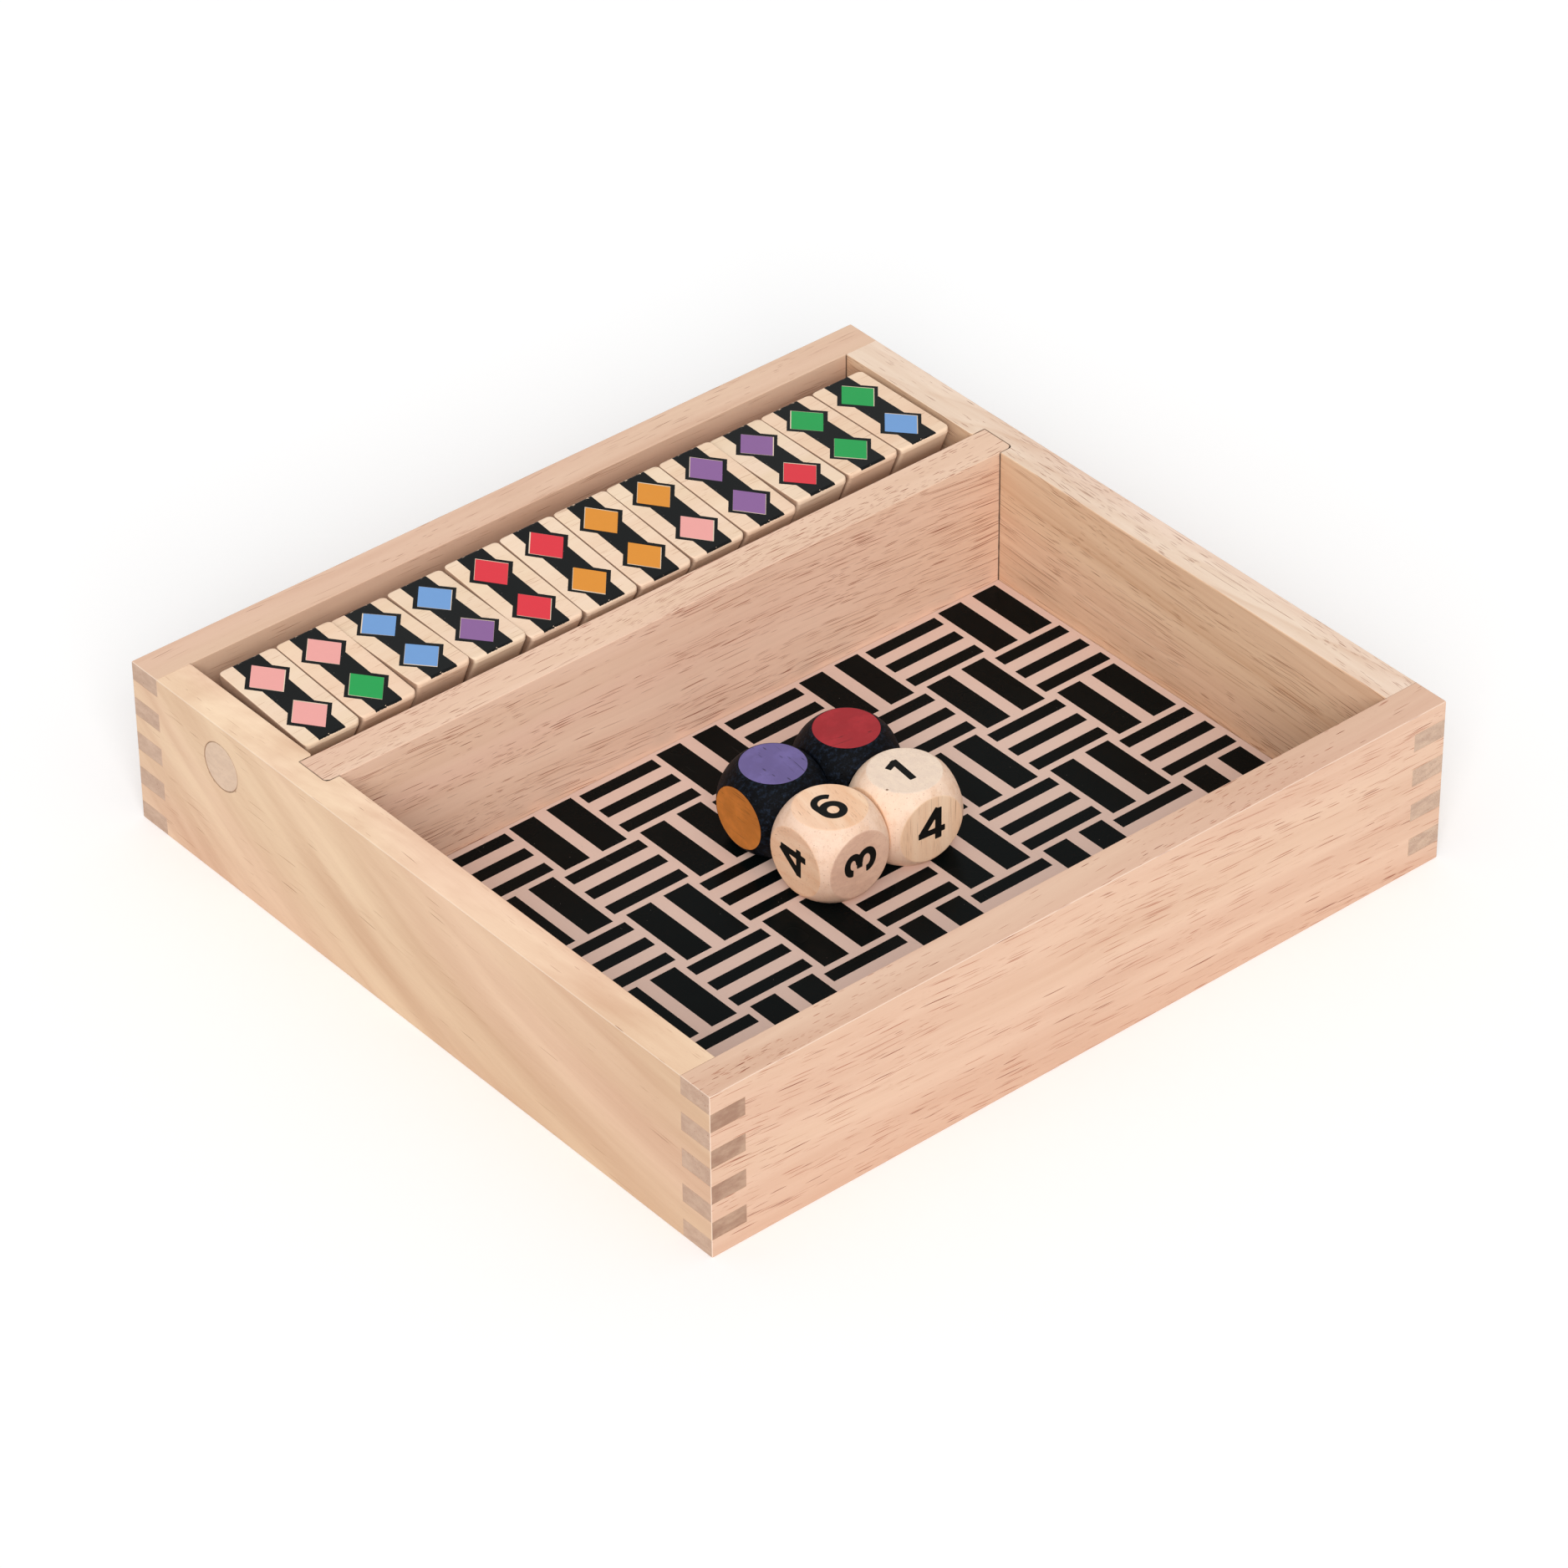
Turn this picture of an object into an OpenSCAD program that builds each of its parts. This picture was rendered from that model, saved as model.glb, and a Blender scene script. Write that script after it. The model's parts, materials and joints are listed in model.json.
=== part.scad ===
// Table-top shut the box game: an open finger-jointed wooden box with two
// compartments. The back one holds a row of tiles that turn on one long
// dowel, the front one is a printed dice tray with four dice in it.
// Origin: centre of the base, on the surface that the box stands on.
// +X runs along the dowel to the right, +Y to the back, +Z up. Millimetres.

/* [Box] */
// Outer length of the box, along the dowel
box_l = 250; // [246:1:260]
// Outer width of the box, front to back
box_w = 239; // [236:1:246]
// Outer height of the box
box_h = 51.3; // [50.4:0.1:54]
// Thickness of the four walls
wall_t = 11.2; // [10:0.1:12]
// Fingers and slots over the height of a corner, an odd number
finger_count = 9; // [7, 9, 11]
// Width of the glue line between two neighbouring fingers
finger_gap = 0.1; // [0.05:0.05:0.3]

/* [Floor] */
// Height of the floor panel's underside above the table
panel_z = 4.2; // [3:0.1:5]
// Thickness of the floor panel
panel_t = 4; // [3:0.1:5]
// Depth of the groove in the walls that carries the floor panel
groove_d = 4; // [3:0.1:5]
// Thickness of the printed card that lines the dice tray
liner_t = 0.6; // [0.4:0.1:1.5]
// Free edge round the printed card
liner_gap = 0.2; // [0.1:0.1:0.5]

/* [Divider] */
// Distance of the divider's front face from the outer front of the box
divider_front = 162.8; // [160:0.1:163]
// Thickness of the divider
divider_t = 11.5; // [10:0.1:11.8]
// Depth of the housing in each side wall that takes the divider's end
dado_d = 4.5; // [3:0.1:6]
// Radius of the divider's two front end corners
divider_r = 1.5; // [0.5:0.1:3]
// Radius of the housing's back lip
lip_r = 1; // [0.4:0.1:1.5]

/* [Dowel] */
// Diameter of the dowel that carries the tiles
rod_d = 14.2; // [12:0.1:15]
// Distance of the dowel's axis from the outer front of the box
rod_y = 200.4; // [199.6:0.1:201]
// Depth of the dowel's axis below the top of the box
rod_drop = 13.1; // [12.8:0.1:14]
// Radial play of the dowel in the side walls
seat_play = 0.06; // [0.02:0.02:0.2]
// Radial play of the tiles on the dowel
bore_play = 0.08; // [0.02:0.02:0.1]

/* [Tiles] */
// Distance from one tile to the next
tile_pitch = 18.67; // [18.4:0.01:18.8]
// Gap between two neighbouring tiles
tile_gap = 0.25; // [0.2:0.05:0.6]
// Length of a tile's top face, front to back
tile_l = 38.5; // [37:0.1:40]
// Length of a tile's bottom face, front to back
tile_base_l = 18.6; // [17:0.1:22]
// Height of a tile above the dowel's axis, and depth below it
tile_half_h = 13; // [12:0.1:13.2]
// Height of the upright edge under the top face
tile_land = 1.5; // [1.2:0.1:3]
// Radius of the top face's front and back edges
tile_edge_r = 0.9; // [0.4:0.1:1.1]
// Radius of a tile's corners, seen from above
tile_corner_r = 1.8; // [1:0.1:3]
// Resting tilt of each tile, left to right, front edge up, in degrees
tile_tilt = [-4.3, -3.8, 0.4, -1.4, -5, -5.9, -5.8, -4.6, -4.1, -0.3, 0.6, 0.5];

/* [Dice] */
// Size of a die across its flats
die_s = 24; // [22:0.1:24.1]
// Diameter of the ball that rounds a number die's corners off
die_ball = 31.2; // [29:0.1:32]
// The same diameter for the two colour dice
colour_ball = 30.3; // [28.5:0.1:32]

/* [Hidden] */

hx = box_l / 2;
hy = box_w / 2;
inner_x = hx - wall_t;
inner_y = hy - wall_t;
finger_h = box_h / finger_count;
panel_top = panel_z + panel_t;
liner_top = panel_top + liner_t;
divider_y = divider_front - hy;
rod_axis_y = rod_y - hy;
rod_axis_z = box_h - rod_drop;
tile_w = tile_pitch - tile_gap;
tile_count = 12;
die_h = liner_top + die_s / 2;

// Centre of each die in the tray, measured from the box's centre, its turn
// about the vertical and the ball that rounds it
dice = [[-10.95, -30.65, 0, die_ball], [14.25, -31.3, -4.7, die_ball],
    [-10, -6.55, 0, colour_ball], [14.9, -7.1, -4.7, colour_ball]];

// Points on an arc round (cx, cy) from angle a0 to a1, in n steps
function arc(cx, cy, r, a0, a1, n = 5) =
    [for (k = [0:n]) let (a = a0 + (a1 - a0) * k / n) [cx + r * cos(a), cy + r * sin(a)]];

// ---- box ----

// The floor panel's room in the grooves of the four walls, open by g all
// round and above, so that the panel stands on the groove's lower side
module panel_room(g) {
    sx = inner_x + groove_d + g;
    sy = inner_y + groove_d + g;
    translate([-sx, -sy, panel_z]) cube([2 * sx, 2 * sy, panel_t + g]);
}

// Plan of the divider with its two front end corners rounded, grown by g
module divider_plan(g) {
    ex = inner_x + dado_d - 0.1 + g;
    y0 = divider_y - g;
    w = divider_t + 2 * g;
    union() {
        translate([-ex + divider_r, y0]) square([2 * ex - 2 * divider_r, w]);
        translate([-ex, y0 + divider_r]) square([2 * ex, w - divider_r]);
        for (s = [-1, 1]) translate([s * (ex - divider_r), y0 + divider_r]) circle(r = divider_r, $fn = 48);
    }
}

// A front or back wall: full length, with open slots for the side walls' fingers
module long_wall(side) {
    y0 = side > 0 ? inner_y : -hy;
    difference() {
        translate([-hx, y0, 0]) cube([box_l, wall_t, box_h]);
        for (s = [-1, 1], k = [1:2:finger_count - 2])
            translate([s > 0 ? inner_x : -hx - 1, y0 - 1, k * finger_h])
                cube([wall_t + 1, wall_t + 2, finger_h]);
        panel_room(0.15);
    }
}

// A side wall: fingers at both ends, a housing for the divider and a hole
// for the dowel
module short_wall(side) {
    x0 = side > 0 ? inner_x : -hx;
    lip_y = divider_y + divider_t + 0.08;
    difference() {
        union() {
            translate([x0, -inner_y, 0]) cube([wall_t, 2 * inner_y, box_h]);
            for (s = [-1, 1], k = [1:2:finger_count - 2])
                translate([x0, s > 0 ? inner_y - 1 : -hy, k * finger_h + finger_gap / 2])
                    cube([wall_t, wall_t + 1, finger_h - finger_gap]);
        }
        panel_room(0.15);
        translate([0, 0, panel_top]) linear_extrude(box_h) divider_plan(0.08);
        // rounded back lip of the housing
        translate([0, 0, panel_top]) linear_extrude(box_h) difference() {
            translate([side * (inner_x - lip_r / 2 + 0.5) - lip_r / 2 - 0.5, lip_y - 0.5]) square([lip_r + 1, lip_r + 0.5]);
            translate([side * (inner_x + lip_r), lip_y + lip_r]) circle(r = lip_r, $fn = 32);
            translate([side * (inner_x + lip_r + 5) - 5, lip_y]) square([10, lip_r + 2]);
        }
        translate([side * (hx - wall_t / 2), rod_axis_y, rod_axis_z]) rotate([0, 90, 0])
            cylinder(d = rod_d + 2 * seat_play, h = wall_t + 4, center = true, $fn = 96);
    }
}

module front_wall() { color("#e2bd9f") long_wall(-1); }
module back_wall() { color("#d9b597") long_wall(1); }
module left_wall() { color("#e0c19c") short_wall(-1); }
module right_wall() { color("#dbbb96") short_wall(1); }

// Upright board between the two compartments, standing on the floor panel
module divider() {
    color("#d8ac8a") translate([0, 0, panel_top]) linear_extrude(box_h - panel_top) divider_plan(0);
}

module bottom_panel() {
    sx = inner_x + groove_d;
    sy = inner_y + groove_d;
    color("#c9a583") translate([-sx, -sy, panel_z]) cube([2 * sx, 2 * sy, panel_t]);
}

// Printed card that lies on the floor of the dice tray
module printed_liner() {
    color("#d3b6a6") translate([-inner_x + liner_gap, -inner_y + liner_gap, panel_top])
        cube([2 * (inner_x - liner_gap), divider_y + inner_y - 2 * liner_gap, liner_t]);
}

// Dowel through both side walls, flush with their outer faces
module tile_rod() {
    color("#d6c0ae") translate([0, rod_axis_y, rod_axis_z]) rotate([0, 90, 0])
        cylinder(d = rod_d, h = box_l, center = true, $fn = 96);
}

// ---- tiles ----

// Outline of a tile seen along the dowel, with the dowel's axis at 0, 0:
// flat top, short upright edges, and ends that slope in towards the base
function tile_outline() = let (l = tile_l / 2, h = tile_half_h, r = tile_edge_r) concat(
    [[-tile_base_l / 2, -h], [tile_base_l / 2, -h], [l, h - tile_land]],
    arc(l - r, h - r, r, 0, 90),
    arc(-l + r, h - r, r, 90, 180),
    [[-l, h - tile_land]]);

// Plan of a tile, with rounded corners
module tile_plan() {
    union() {
        square([tile_w - 2 * tile_corner_r, tile_l + 1], center = true);
        square([tile_w, tile_l - 2 * tile_corner_r], center = true);
        for (sx = [-1, 1], sy = [-1, 1])
            translate([sx * (tile_w / 2 - tile_corner_r), sy * (tile_l / 2 - tile_corner_r)])
                circle(r = tile_corner_r, $fn = 48);
    }
}

// Tile number i from the left, turned to its resting tilt
module tile(i) {
    x = (i - (tile_count + 1) / 2) * tile_pitch;
    translate([x, rod_axis_y, rod_axis_z]) rotate([-tile_tilt[i - 1], 0, 0])
        difference() {
            intersection() {
                rotate([90, 0, 90]) linear_extrude(tile_w, center = true) polygon(tile_outline());
                translate([0, 0, -tile_half_h - 1]) linear_extrude(2 * tile_half_h + 2) tile_plan();
            }
            rotate([0, 90, 0]) cylinder(d = rod_d + 2 * bore_play, h = tile_w + 2, center = true, $fn = 96);
        }
}

module tile_01() { color("#2b2b29") tile(1); }
module tile_02() { color("#ecd3b2") tile(2); }
module tile_03() { color("#2b2b29") tile(3); }
module tile_04() { color("#ecd3b2") tile(4); }
module tile_05() { color("#2b2b29") tile(5); }
module tile_06() { color("#ecd3b2") tile(6); }
module tile_07() { color("#2b2b29") tile(7); }
module tile_08() { color("#ecd3b2") tile(8); }
module tile_09() { color("#2b2b29") tile(9); }
module tile_10() { color("#ecd3b2") tile(10); }
module tile_11() { color("#2b2b29") tile(11); }
module tile_12() { color("#ecd3b2") tile(12); }

// ---- dice ----

// A cube whose corners and edges are turned off to a ball, which leaves a
// round flat on each side
module die(k) {
    translate([dice[k][0], dice[k][1], die_h]) rotate([0, 0, dice[k][2]])
        intersection() {
            cube(die_s, center = true);
            sphere(d = dice[k][3], $fn = 128);
        }
}

module number_die_a() { color("#dfc09c") die(0); }
module number_die_b() { color("#dfc09c") die(1); }
module colour_die_a() { color("#262729") die(2); }
module colour_die_b() { color("#262729") die(3); }

front_wall();
back_wall();
left_wall();
right_wall();
divider();
bottom_panel();
printed_liner();
tile_rod();
tile_01();
tile_02();
tile_03();
tile_04();
tile_05();
tile_06();
tile_07();
tile_08();
tile_09();
tile_10();
tile_11();
tile_12();
number_die_a();
number_die_b();
colour_die_a();
colour_die_b();
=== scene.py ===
import json
import math

import bmesh
import bpy
import numpy as np
from mathutils import Euler, Matrix, Vector


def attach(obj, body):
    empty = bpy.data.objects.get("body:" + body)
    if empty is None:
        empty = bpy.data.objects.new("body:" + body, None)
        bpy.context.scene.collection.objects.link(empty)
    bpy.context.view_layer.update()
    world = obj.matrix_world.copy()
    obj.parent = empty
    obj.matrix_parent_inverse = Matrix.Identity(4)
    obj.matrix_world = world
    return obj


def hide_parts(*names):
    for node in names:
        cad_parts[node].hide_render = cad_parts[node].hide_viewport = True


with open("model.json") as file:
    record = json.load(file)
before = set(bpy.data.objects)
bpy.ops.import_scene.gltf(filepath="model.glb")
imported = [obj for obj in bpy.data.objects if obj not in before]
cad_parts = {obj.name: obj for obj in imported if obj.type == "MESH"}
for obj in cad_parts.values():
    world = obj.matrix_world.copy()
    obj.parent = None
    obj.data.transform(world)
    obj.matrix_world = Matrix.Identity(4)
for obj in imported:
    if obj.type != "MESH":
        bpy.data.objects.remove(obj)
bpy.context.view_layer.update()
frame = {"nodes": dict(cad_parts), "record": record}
NODES = frame["nodes"]
scene = bpy.context.scene
scene.view_settings.view_transform = "Standard"
scene.view_settings.look = "None"
scene.view_settings.exposure = 0.0
scene.view_settings.gamma = 1.0

MM = 0.001

# ---------------------------------------------------------------- camera
cam_data = bpy.data.cameras.new("product_camera")
cam_data.sensor_fit = "HORIZONTAL"
cam_data.sensor_width = 36.0
cam_data.lens = 156.62
cam_data.clip_start = 0.05
cam_data.clip_end = 30.0
camera = bpy.data.objects.new("product_camera", cam_data)
scene.collection.objects.link(camera)
_right = Vector((0.7641867, -0.6449530, -0.0073702))
_up = Vector((0.3905492, 0.4535965, 0.8010752))
_back = Vector((-0.5133128, -0.6150495, 0.5985183))
_eye = Vector((-0.929672, -1.112940, 1.100965))
camera.matrix_world = Matrix(
    (
        (_right.x, _up.x, _back.x, _eye.x),
        (_right.y, _up.y, _back.y, _eye.y),
        (_right.z, _up.z, _back.z, _eye.z),
        (0, 0, 0, 1),
    )
)
scene.camera = camera


# ---------------------------------------------------------------- node trees
class Tree:
    """Short calls for building a node tree."""

    def __init__(self, tree):
        self.t = tree

    def set(self, socket, value):
        if isinstance(value, bpy.types.NodeSocket):
            self.t.links.new(value, socket)
        elif value is not None:
            socket.default_value = value

    def put(self, kind, ins=None, **props):
        n = self.t.nodes.new(kind)
        for k, v in props.items():
            setattr(n, k, v)
        for k, v in (ins or {}).items():
            self.set(n.inputs[k], v)
        return n

    def math(self, op, a, b=None, c=None, clamp=False):
        n = self.put("ShaderNodeMath", operation=op, use_clamp=clamp)
        for s, v in zip(n.inputs, (a, b, c)):
            self.set(s, v)
        return n.outputs[0]

    def add(self, a, b):
        return self.math("ADD", a, b)

    def sub(self, a, b):
        return self.math("SUBTRACT", a, b)

    def mul(self, a, b):
        return self.math("MULTIPLY", a, b)

    def step(self, value, low, high, to_low=0.0, to_high=1.0):
        n = self.put("ShaderNodeMapRange", interpolation_type="SMOOTHSTEP")
        for name, v in (
            ("Value", value),
            ("From Min", low),
            ("From Max", high),
            ("To Min", to_low),
            ("To Max", to_high),
        ):
            self.set(n.inputs[name], v)
        return n.outputs["Result"]

    def line(self, value, low, high, to_low=0.0, to_high=1.0):
        n = self.put("ShaderNodeMapRange", interpolation_type="LINEAR")
        for name, v in (
            ("Value", value),
            ("From Min", low),
            ("From Max", high),
            ("To Min", to_low),
            ("To Max", to_high),
        ):
            self.set(n.inputs[name], v)
        return n.outputs["Result"]

    def vec(self, op, a, b=None, scale=None):
        n = self.put("ShaderNodeVectorMath", operation=op)
        self.set(n.inputs[0], a)
        if b is not None:
            self.set(n.inputs[1], b)
        if scale is not None:
            self.set(n.inputs["Scale"], scale)
        return n.outputs["Value"] if op in ("DOT_PRODUCT", "LENGTH", "DISTANCE") else n.outputs["Vector"]

    def split(self, v):
        n = self.put("ShaderNodeSeparateXYZ", {"Vector": v})
        return n.outputs["X"], n.outputs["Y"], n.outputs["Z"]

    def join(self, x, y, z):
        n = self.put("ShaderNodeCombineXYZ", {"X": x, "Y": y, "Z": z})
        return n.outputs["Vector"]

    def noise(self, v, scale=1.0, detail=2.0, rough=0.5, distortion=0.0, colour=False):
        n = self.put(
            "ShaderNodeTexNoise",
            {"Vector": v, "Scale": scale, "Detail": detail, "Roughness": rough, "Distortion": distortion},
            noise_dimensions="3D",
        )
        return n.outputs["Color"] if colour else n.outputs["Fac"]

    def voronoi(self, v, scale=1.0, feature="F1", rnd=1.0):
        n = self.put("ShaderNodeTexVoronoi", {"Vector": v, "Scale": scale, "Randomness": rnd}, feature=feature)
        return n

    def mix(self, fac, a, b, blend="MIX"):
        n = self.put("ShaderNodeMix", data_type="RGBA", blend_type=blend, clamp_factor=True)
        self.set(n.inputs[0], fac)
        self.set(n.inputs[6], a)
        self.set(n.inputs[7], b)
        return n.outputs[2]

    def mixf(self, fac, a, b):
        n = self.put("ShaderNodeMix", data_type="FLOAT", clamp_factor=True)
        self.set(n.inputs[0], fac)
        self.set(n.inputs[2], a)
        self.set(n.inputs[3], b)
        return n.outputs[0]

    def ramp(self, fac, stops, mode="LINEAR"):
        n = self.put("ShaderNodeValToRGB", {"Fac": fac})
        r = n.color_ramp
        r.interpolation = mode
        while len(r.elements) < len(stops):
            r.elements.new(0.5)
        for e, (p, c) in zip(r.elements, stops):
            e.position = p
            e.color = c if isinstance(c, tuple) else (c, c, c, 1.0)
        return n.outputs["Color"]


def srgb(r, g, b):
    """A linear colour from 0..255 display values."""

    def one(v):
        v /= 255.0
        return v / 12.92 if v <= 0.04045 else ((v + 0.055) / 1.055) ** 2.4

    return (one(r), one(g), one(b), 1.0)


def group(name, ins, outs):
    g = bpy.data.node_groups.new(name, "ShaderNodeTree")
    for n, kind, default in ins:
        s = g.interface.new_socket(name=n, in_out="INPUT", socket_type=kind)
        if default is not None:
            s.default_value = default
    for n, kind in outs:
        g.interface.new_socket(name=n, in_out="OUTPUT", socket_type=kind)
    t = Tree(g)
    return g, t, t.put("NodeGroupInput"), t.put("NodeGroupOutput")


F, C, V = "NodeSocketFloat", "NodeSocketColor", "NodeSocketVector"

# Solid wood. P is in millimetres with X along the grain. Everything is a
# stretched three-dimensional pattern, so one board shows long figure on its
# faces and dots and arcs on its ends: soft bands, growth rings, fine fibres
# and the open vessels that show as short thin dashes.
WOOD_IN = [
    ("P", V, None),
    ("Seed", V, None),
    ("Light", C, srgb(236, 205, 170)),
    ("Dark", C, srgb(205, 160, 120)),
    ("Dash", C, srgb(150, 100, 70)),
    ("Deep", C, srgb(90, 58, 42)),
    ("End Colour", C, srgb(190, 155, 130)),
    ("Slope", F, 0.0),
    ("Bend", F, 0.0),
    ("Pith Y", F, 40.0),
    ("Pith Z", F, -60.0),
    ("Ring", F, 4.0),
    ("Ring Amount", F, 0.2),
    ("Band Amount", F, 0.5),
    ("Streak Amount", F, 0.3),
    ("Fibre Amount", F, 0.2),
    ("Dash Density", F, 0.2),
    ("Dash Amount", F, 0.6),
    ("Line Density", F, 0.1),
    ("Deep Amount", F, 0.0),
    ("Blush Amount", F, 0.5),
    ("Across Scale", F, 1.0),
    ("End", F, 0.0),
]
wood_group, t, gi, go = group("Wood", WOOD_IN, [("Color", C), ("Height", F), ("Rough", F)])
o = gi.outputs
Q = o["P"]
P = t.vec("ADD", Q, o["Seed"])
qx, qy, qz = t.split(Q)
warp = t.noise(t.vec("MULTIPLY", P, (0.010, 0.028, 0.028)), 1.0, 1.0, 0.5, colour=True)
warp = t.vec("MULTIPLY", t.vec("SUBTRACT", warp, (0.5, 0.5, 0.5)), (0.0, 6.0, 6.0))
wig = t.noise(t.vec("MULTIPLY", P, (0.05, 0.20, 0.20)), 1.0, 1.0, 0.5, colour=True)
wig = t.vec("MULTIPLY", t.vec("SUBTRACT", wig, (0.5, 0.5, 0.5)), (0.0, 0.9, 0.9))
W = t.vec("ADD", warp, wig)
P1 = t.vec("ADD", P, W)
Q1 = t.vec("ADD", Q, W)
# the figure may climb through the board, faster towards one end
climb = t.mul(qx, t.add(o["Slope"], t.mul(qx, o["Bend"])))
PB = t.vec("SUBTRACT", P1, t.join(0.0, t.mul(climb, 0.25), climb))
QB = t.vec("SUBTRACT", Q1, t.join(0.0, t.mul(climb, 0.25), climb))
_x, yb, zb = t.split(QB)
PB = t.vec("MULTIPLY", PB, t.join(1.0, o["Across Scale"], o["Across Scale"]))
# growth rings round the pith
ry_ = t.sub(yb, o["Pith Y"])
rz_ = t.sub(zb, o["Pith Z"])
rad = t.math("SQRT", t.add(t.mul(ry_, ry_), t.mul(rz_, rz_)))
u = t.math("DIVIDE", rad, o["Ring"])
u = t.add(u, t.mul(t.noise(t.join(t.mul(qx, 0.004), t.mul(rad, 0.09), 3.0), 1.0, 2.0), 1.6))
ring_no = t.math("FLOOR", u)
fr = t.math("FRACT", u)
ring = t.ramp(fr, [(0.0, 0.50), (0.10, 0.10), (0.45, 0.18), (0.80, 0.55), (0.92, 1.0), (1.0, 0.5)])
wn = t.put("ShaderNodeTexWhiteNoise", {"W": ring_no}, noise_dimensions="1D").outputs["Value"]
ring = t.mul(ring, t.line(wn, 0.0, 1.0, 0.2, 1.0))
# broad soft bands, and narrower ones in them
band = t.step(t.noise(t.vec("MULTIPLY", PB, (0.005, 0.110, 0.105)), 1.0, 2.0, 0.45), 0.30, 0.70)
streak = t.noise(t.vec("MULTIPLY", PB, (0.010, 0.42, 0.42)), 1.0, 2.0, 0.5)
blush = t.step(t.noise(t.vec("MULTIPLY", PB, (0.005, 0.060, 0.055)), 1.0, 1.0, 0.5), 0.32, 0.66)
blotch = t.noise(t.vec("MULTIPLY", P, (0.012, 0.035, 0.035)), 1.0, 2.0, 0.5)
# fibres
fib = t.noise(t.vec("MULTIPLY", P1, (0.045, 2.4, 2.4)), 1.0, 3.0, 0.6)
# vessels: short dashes in rows, thicker in some zones, and longer hair lines
zone = t.step(t.noise(t.vec("MULTIPLY", P1, (0.010, 0.085, 0.11)), 1.0, 1.5, 0.5), 0.36, 0.64)


def vessels(scale, low, high, density):
    vo = t.voronoi(t.vec("MULTIPLY", P1, scale), 1.0)
    r, g, b = t.split(vo.outputs["Color"])
    size = t.line(r, 0.0, 1.0, low, high)
    mark = t.step(vo.outputs["Distance"], t.mul(size, 0.55), size, 1.0, 0.0)
    room = t.mul(density, t.add(t.mul(zone, 1.55), 0.25))
    return t.mul(mark, t.math("LESS_THAN", g, room)), b, g


dash, dash_tone, _g = vessels((0.066, 2.9, 2.9), 0.18, 0.50, o["Dash Density"])
hair, hair_tone, _g = vessels((0.022, 3.3, 3.3), 0.20, 0.46, o["Line Density"])
speck, speck_tone, _g = vessels((0.30, 3.8, 3.8), 0.08, 0.36, 0.42)
dash_a = t.mul(dash, t.line(dash_tone, 0.0, 1.0, 0.35, 1.0))
hair_a = t.mul(hair, t.line(hair_tone, 0.0, 1.0, 0.40, 1.0))
speck_a = t.mul(speck, t.line(speck_tone, 0.0, 1.0, 0.05, 0.30))
flat_a = t.math("MAXIMUM", t.math("MAXIMUM", dash_a, hair_a), speck_a)
deep = t.mul(dash, t.step(dash_tone, 0.86, 0.90))
# colour
tone = t.add(
    t.add(t.mul(t.sub(band, 0.5), o["Band Amount"]), t.mul(t.sub(blotch, 0.5), t.mul(o["Band Amount"], 0.9))),
    t.add(t.mul(t.sub(ring, 0.3), o["Ring Amount"]), t.mul(t.sub(streak, 0.5), t.mul(o["Streak Amount"], 2.4))),
)
tone = t.add(t.add(tone, t.mul(t.sub(fib, 0.5), t.mul(o["Fibre Amount"], 1.6))), 0.45)
tone = t.add(tone, t.mul(t.sub(zone, 0.5), t.mul(o["Dash Density"], 0.35)))
col = t.mix(t.math("MINIMUM", t.math("MAXIMUM", tone, 0.0), 1.0), o["Light"], o["Dark"])
tint = t.mix(blush, (1.0, 1.0, 0.93, 1), (1.0, 0.935, 0.915, 1))
col = t.mix(o["Blush Amount"], col, tint, "MULTIPLY")
grain_end = t.noise(t.vec("MULTIPLY", P1, (0.05, 0.30, 0.75)), 1.0, 3.0, 0.55)
grain_end = t.step(t.add(t.mul(grain_end, 0.7), t.mul(tone, 0.3)), 0.28, 0.66)
ends = t.mix(grain_end, t.mix(0.28, o["End Colour"], o["Light"]), t.mix(0.10, o["End Colour"], o["Dash"]))
col = t.mix(t.mul(o["End"], 0.92), col, ends)
col = t.mix(t.mul(flat_a, t.mul(o["Dash Amount"], t.mixf(o["End"], 1.0, 0.55))), col, o["Dash"])
col = t.mix(t.mul(deep, o["Deep Amount"]), col, o["Deep"])
height = t.add(t.mul(t.sub(fib, 0.5), 0.014), t.mul(t.math("MAXIMUM", dash, t.mul(hair, 0.6)), -0.010))
height = t.sub(t.sub(height, t.mul(ring, 0.004)), t.mul(speck, 0.008))
rough = t.add(t.mul(t.sub(fib, 0.5), 0.14), t.add(t.mul(dash, 0.15), t.mul(o["End"], 0.12)))
t.set(go.inputs["Color"], col)
t.set(go.inputs["Height"], height)
t.set(go.inputs["Rough"], rough)

AXIS = {
    "X": Matrix.Identity(3),
    "Y": Matrix.Rotation(math.radians(-90), 3, "Z"),
    "Z": Matrix.Rotation(math.radians(90), 3, "Y"),
}


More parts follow.
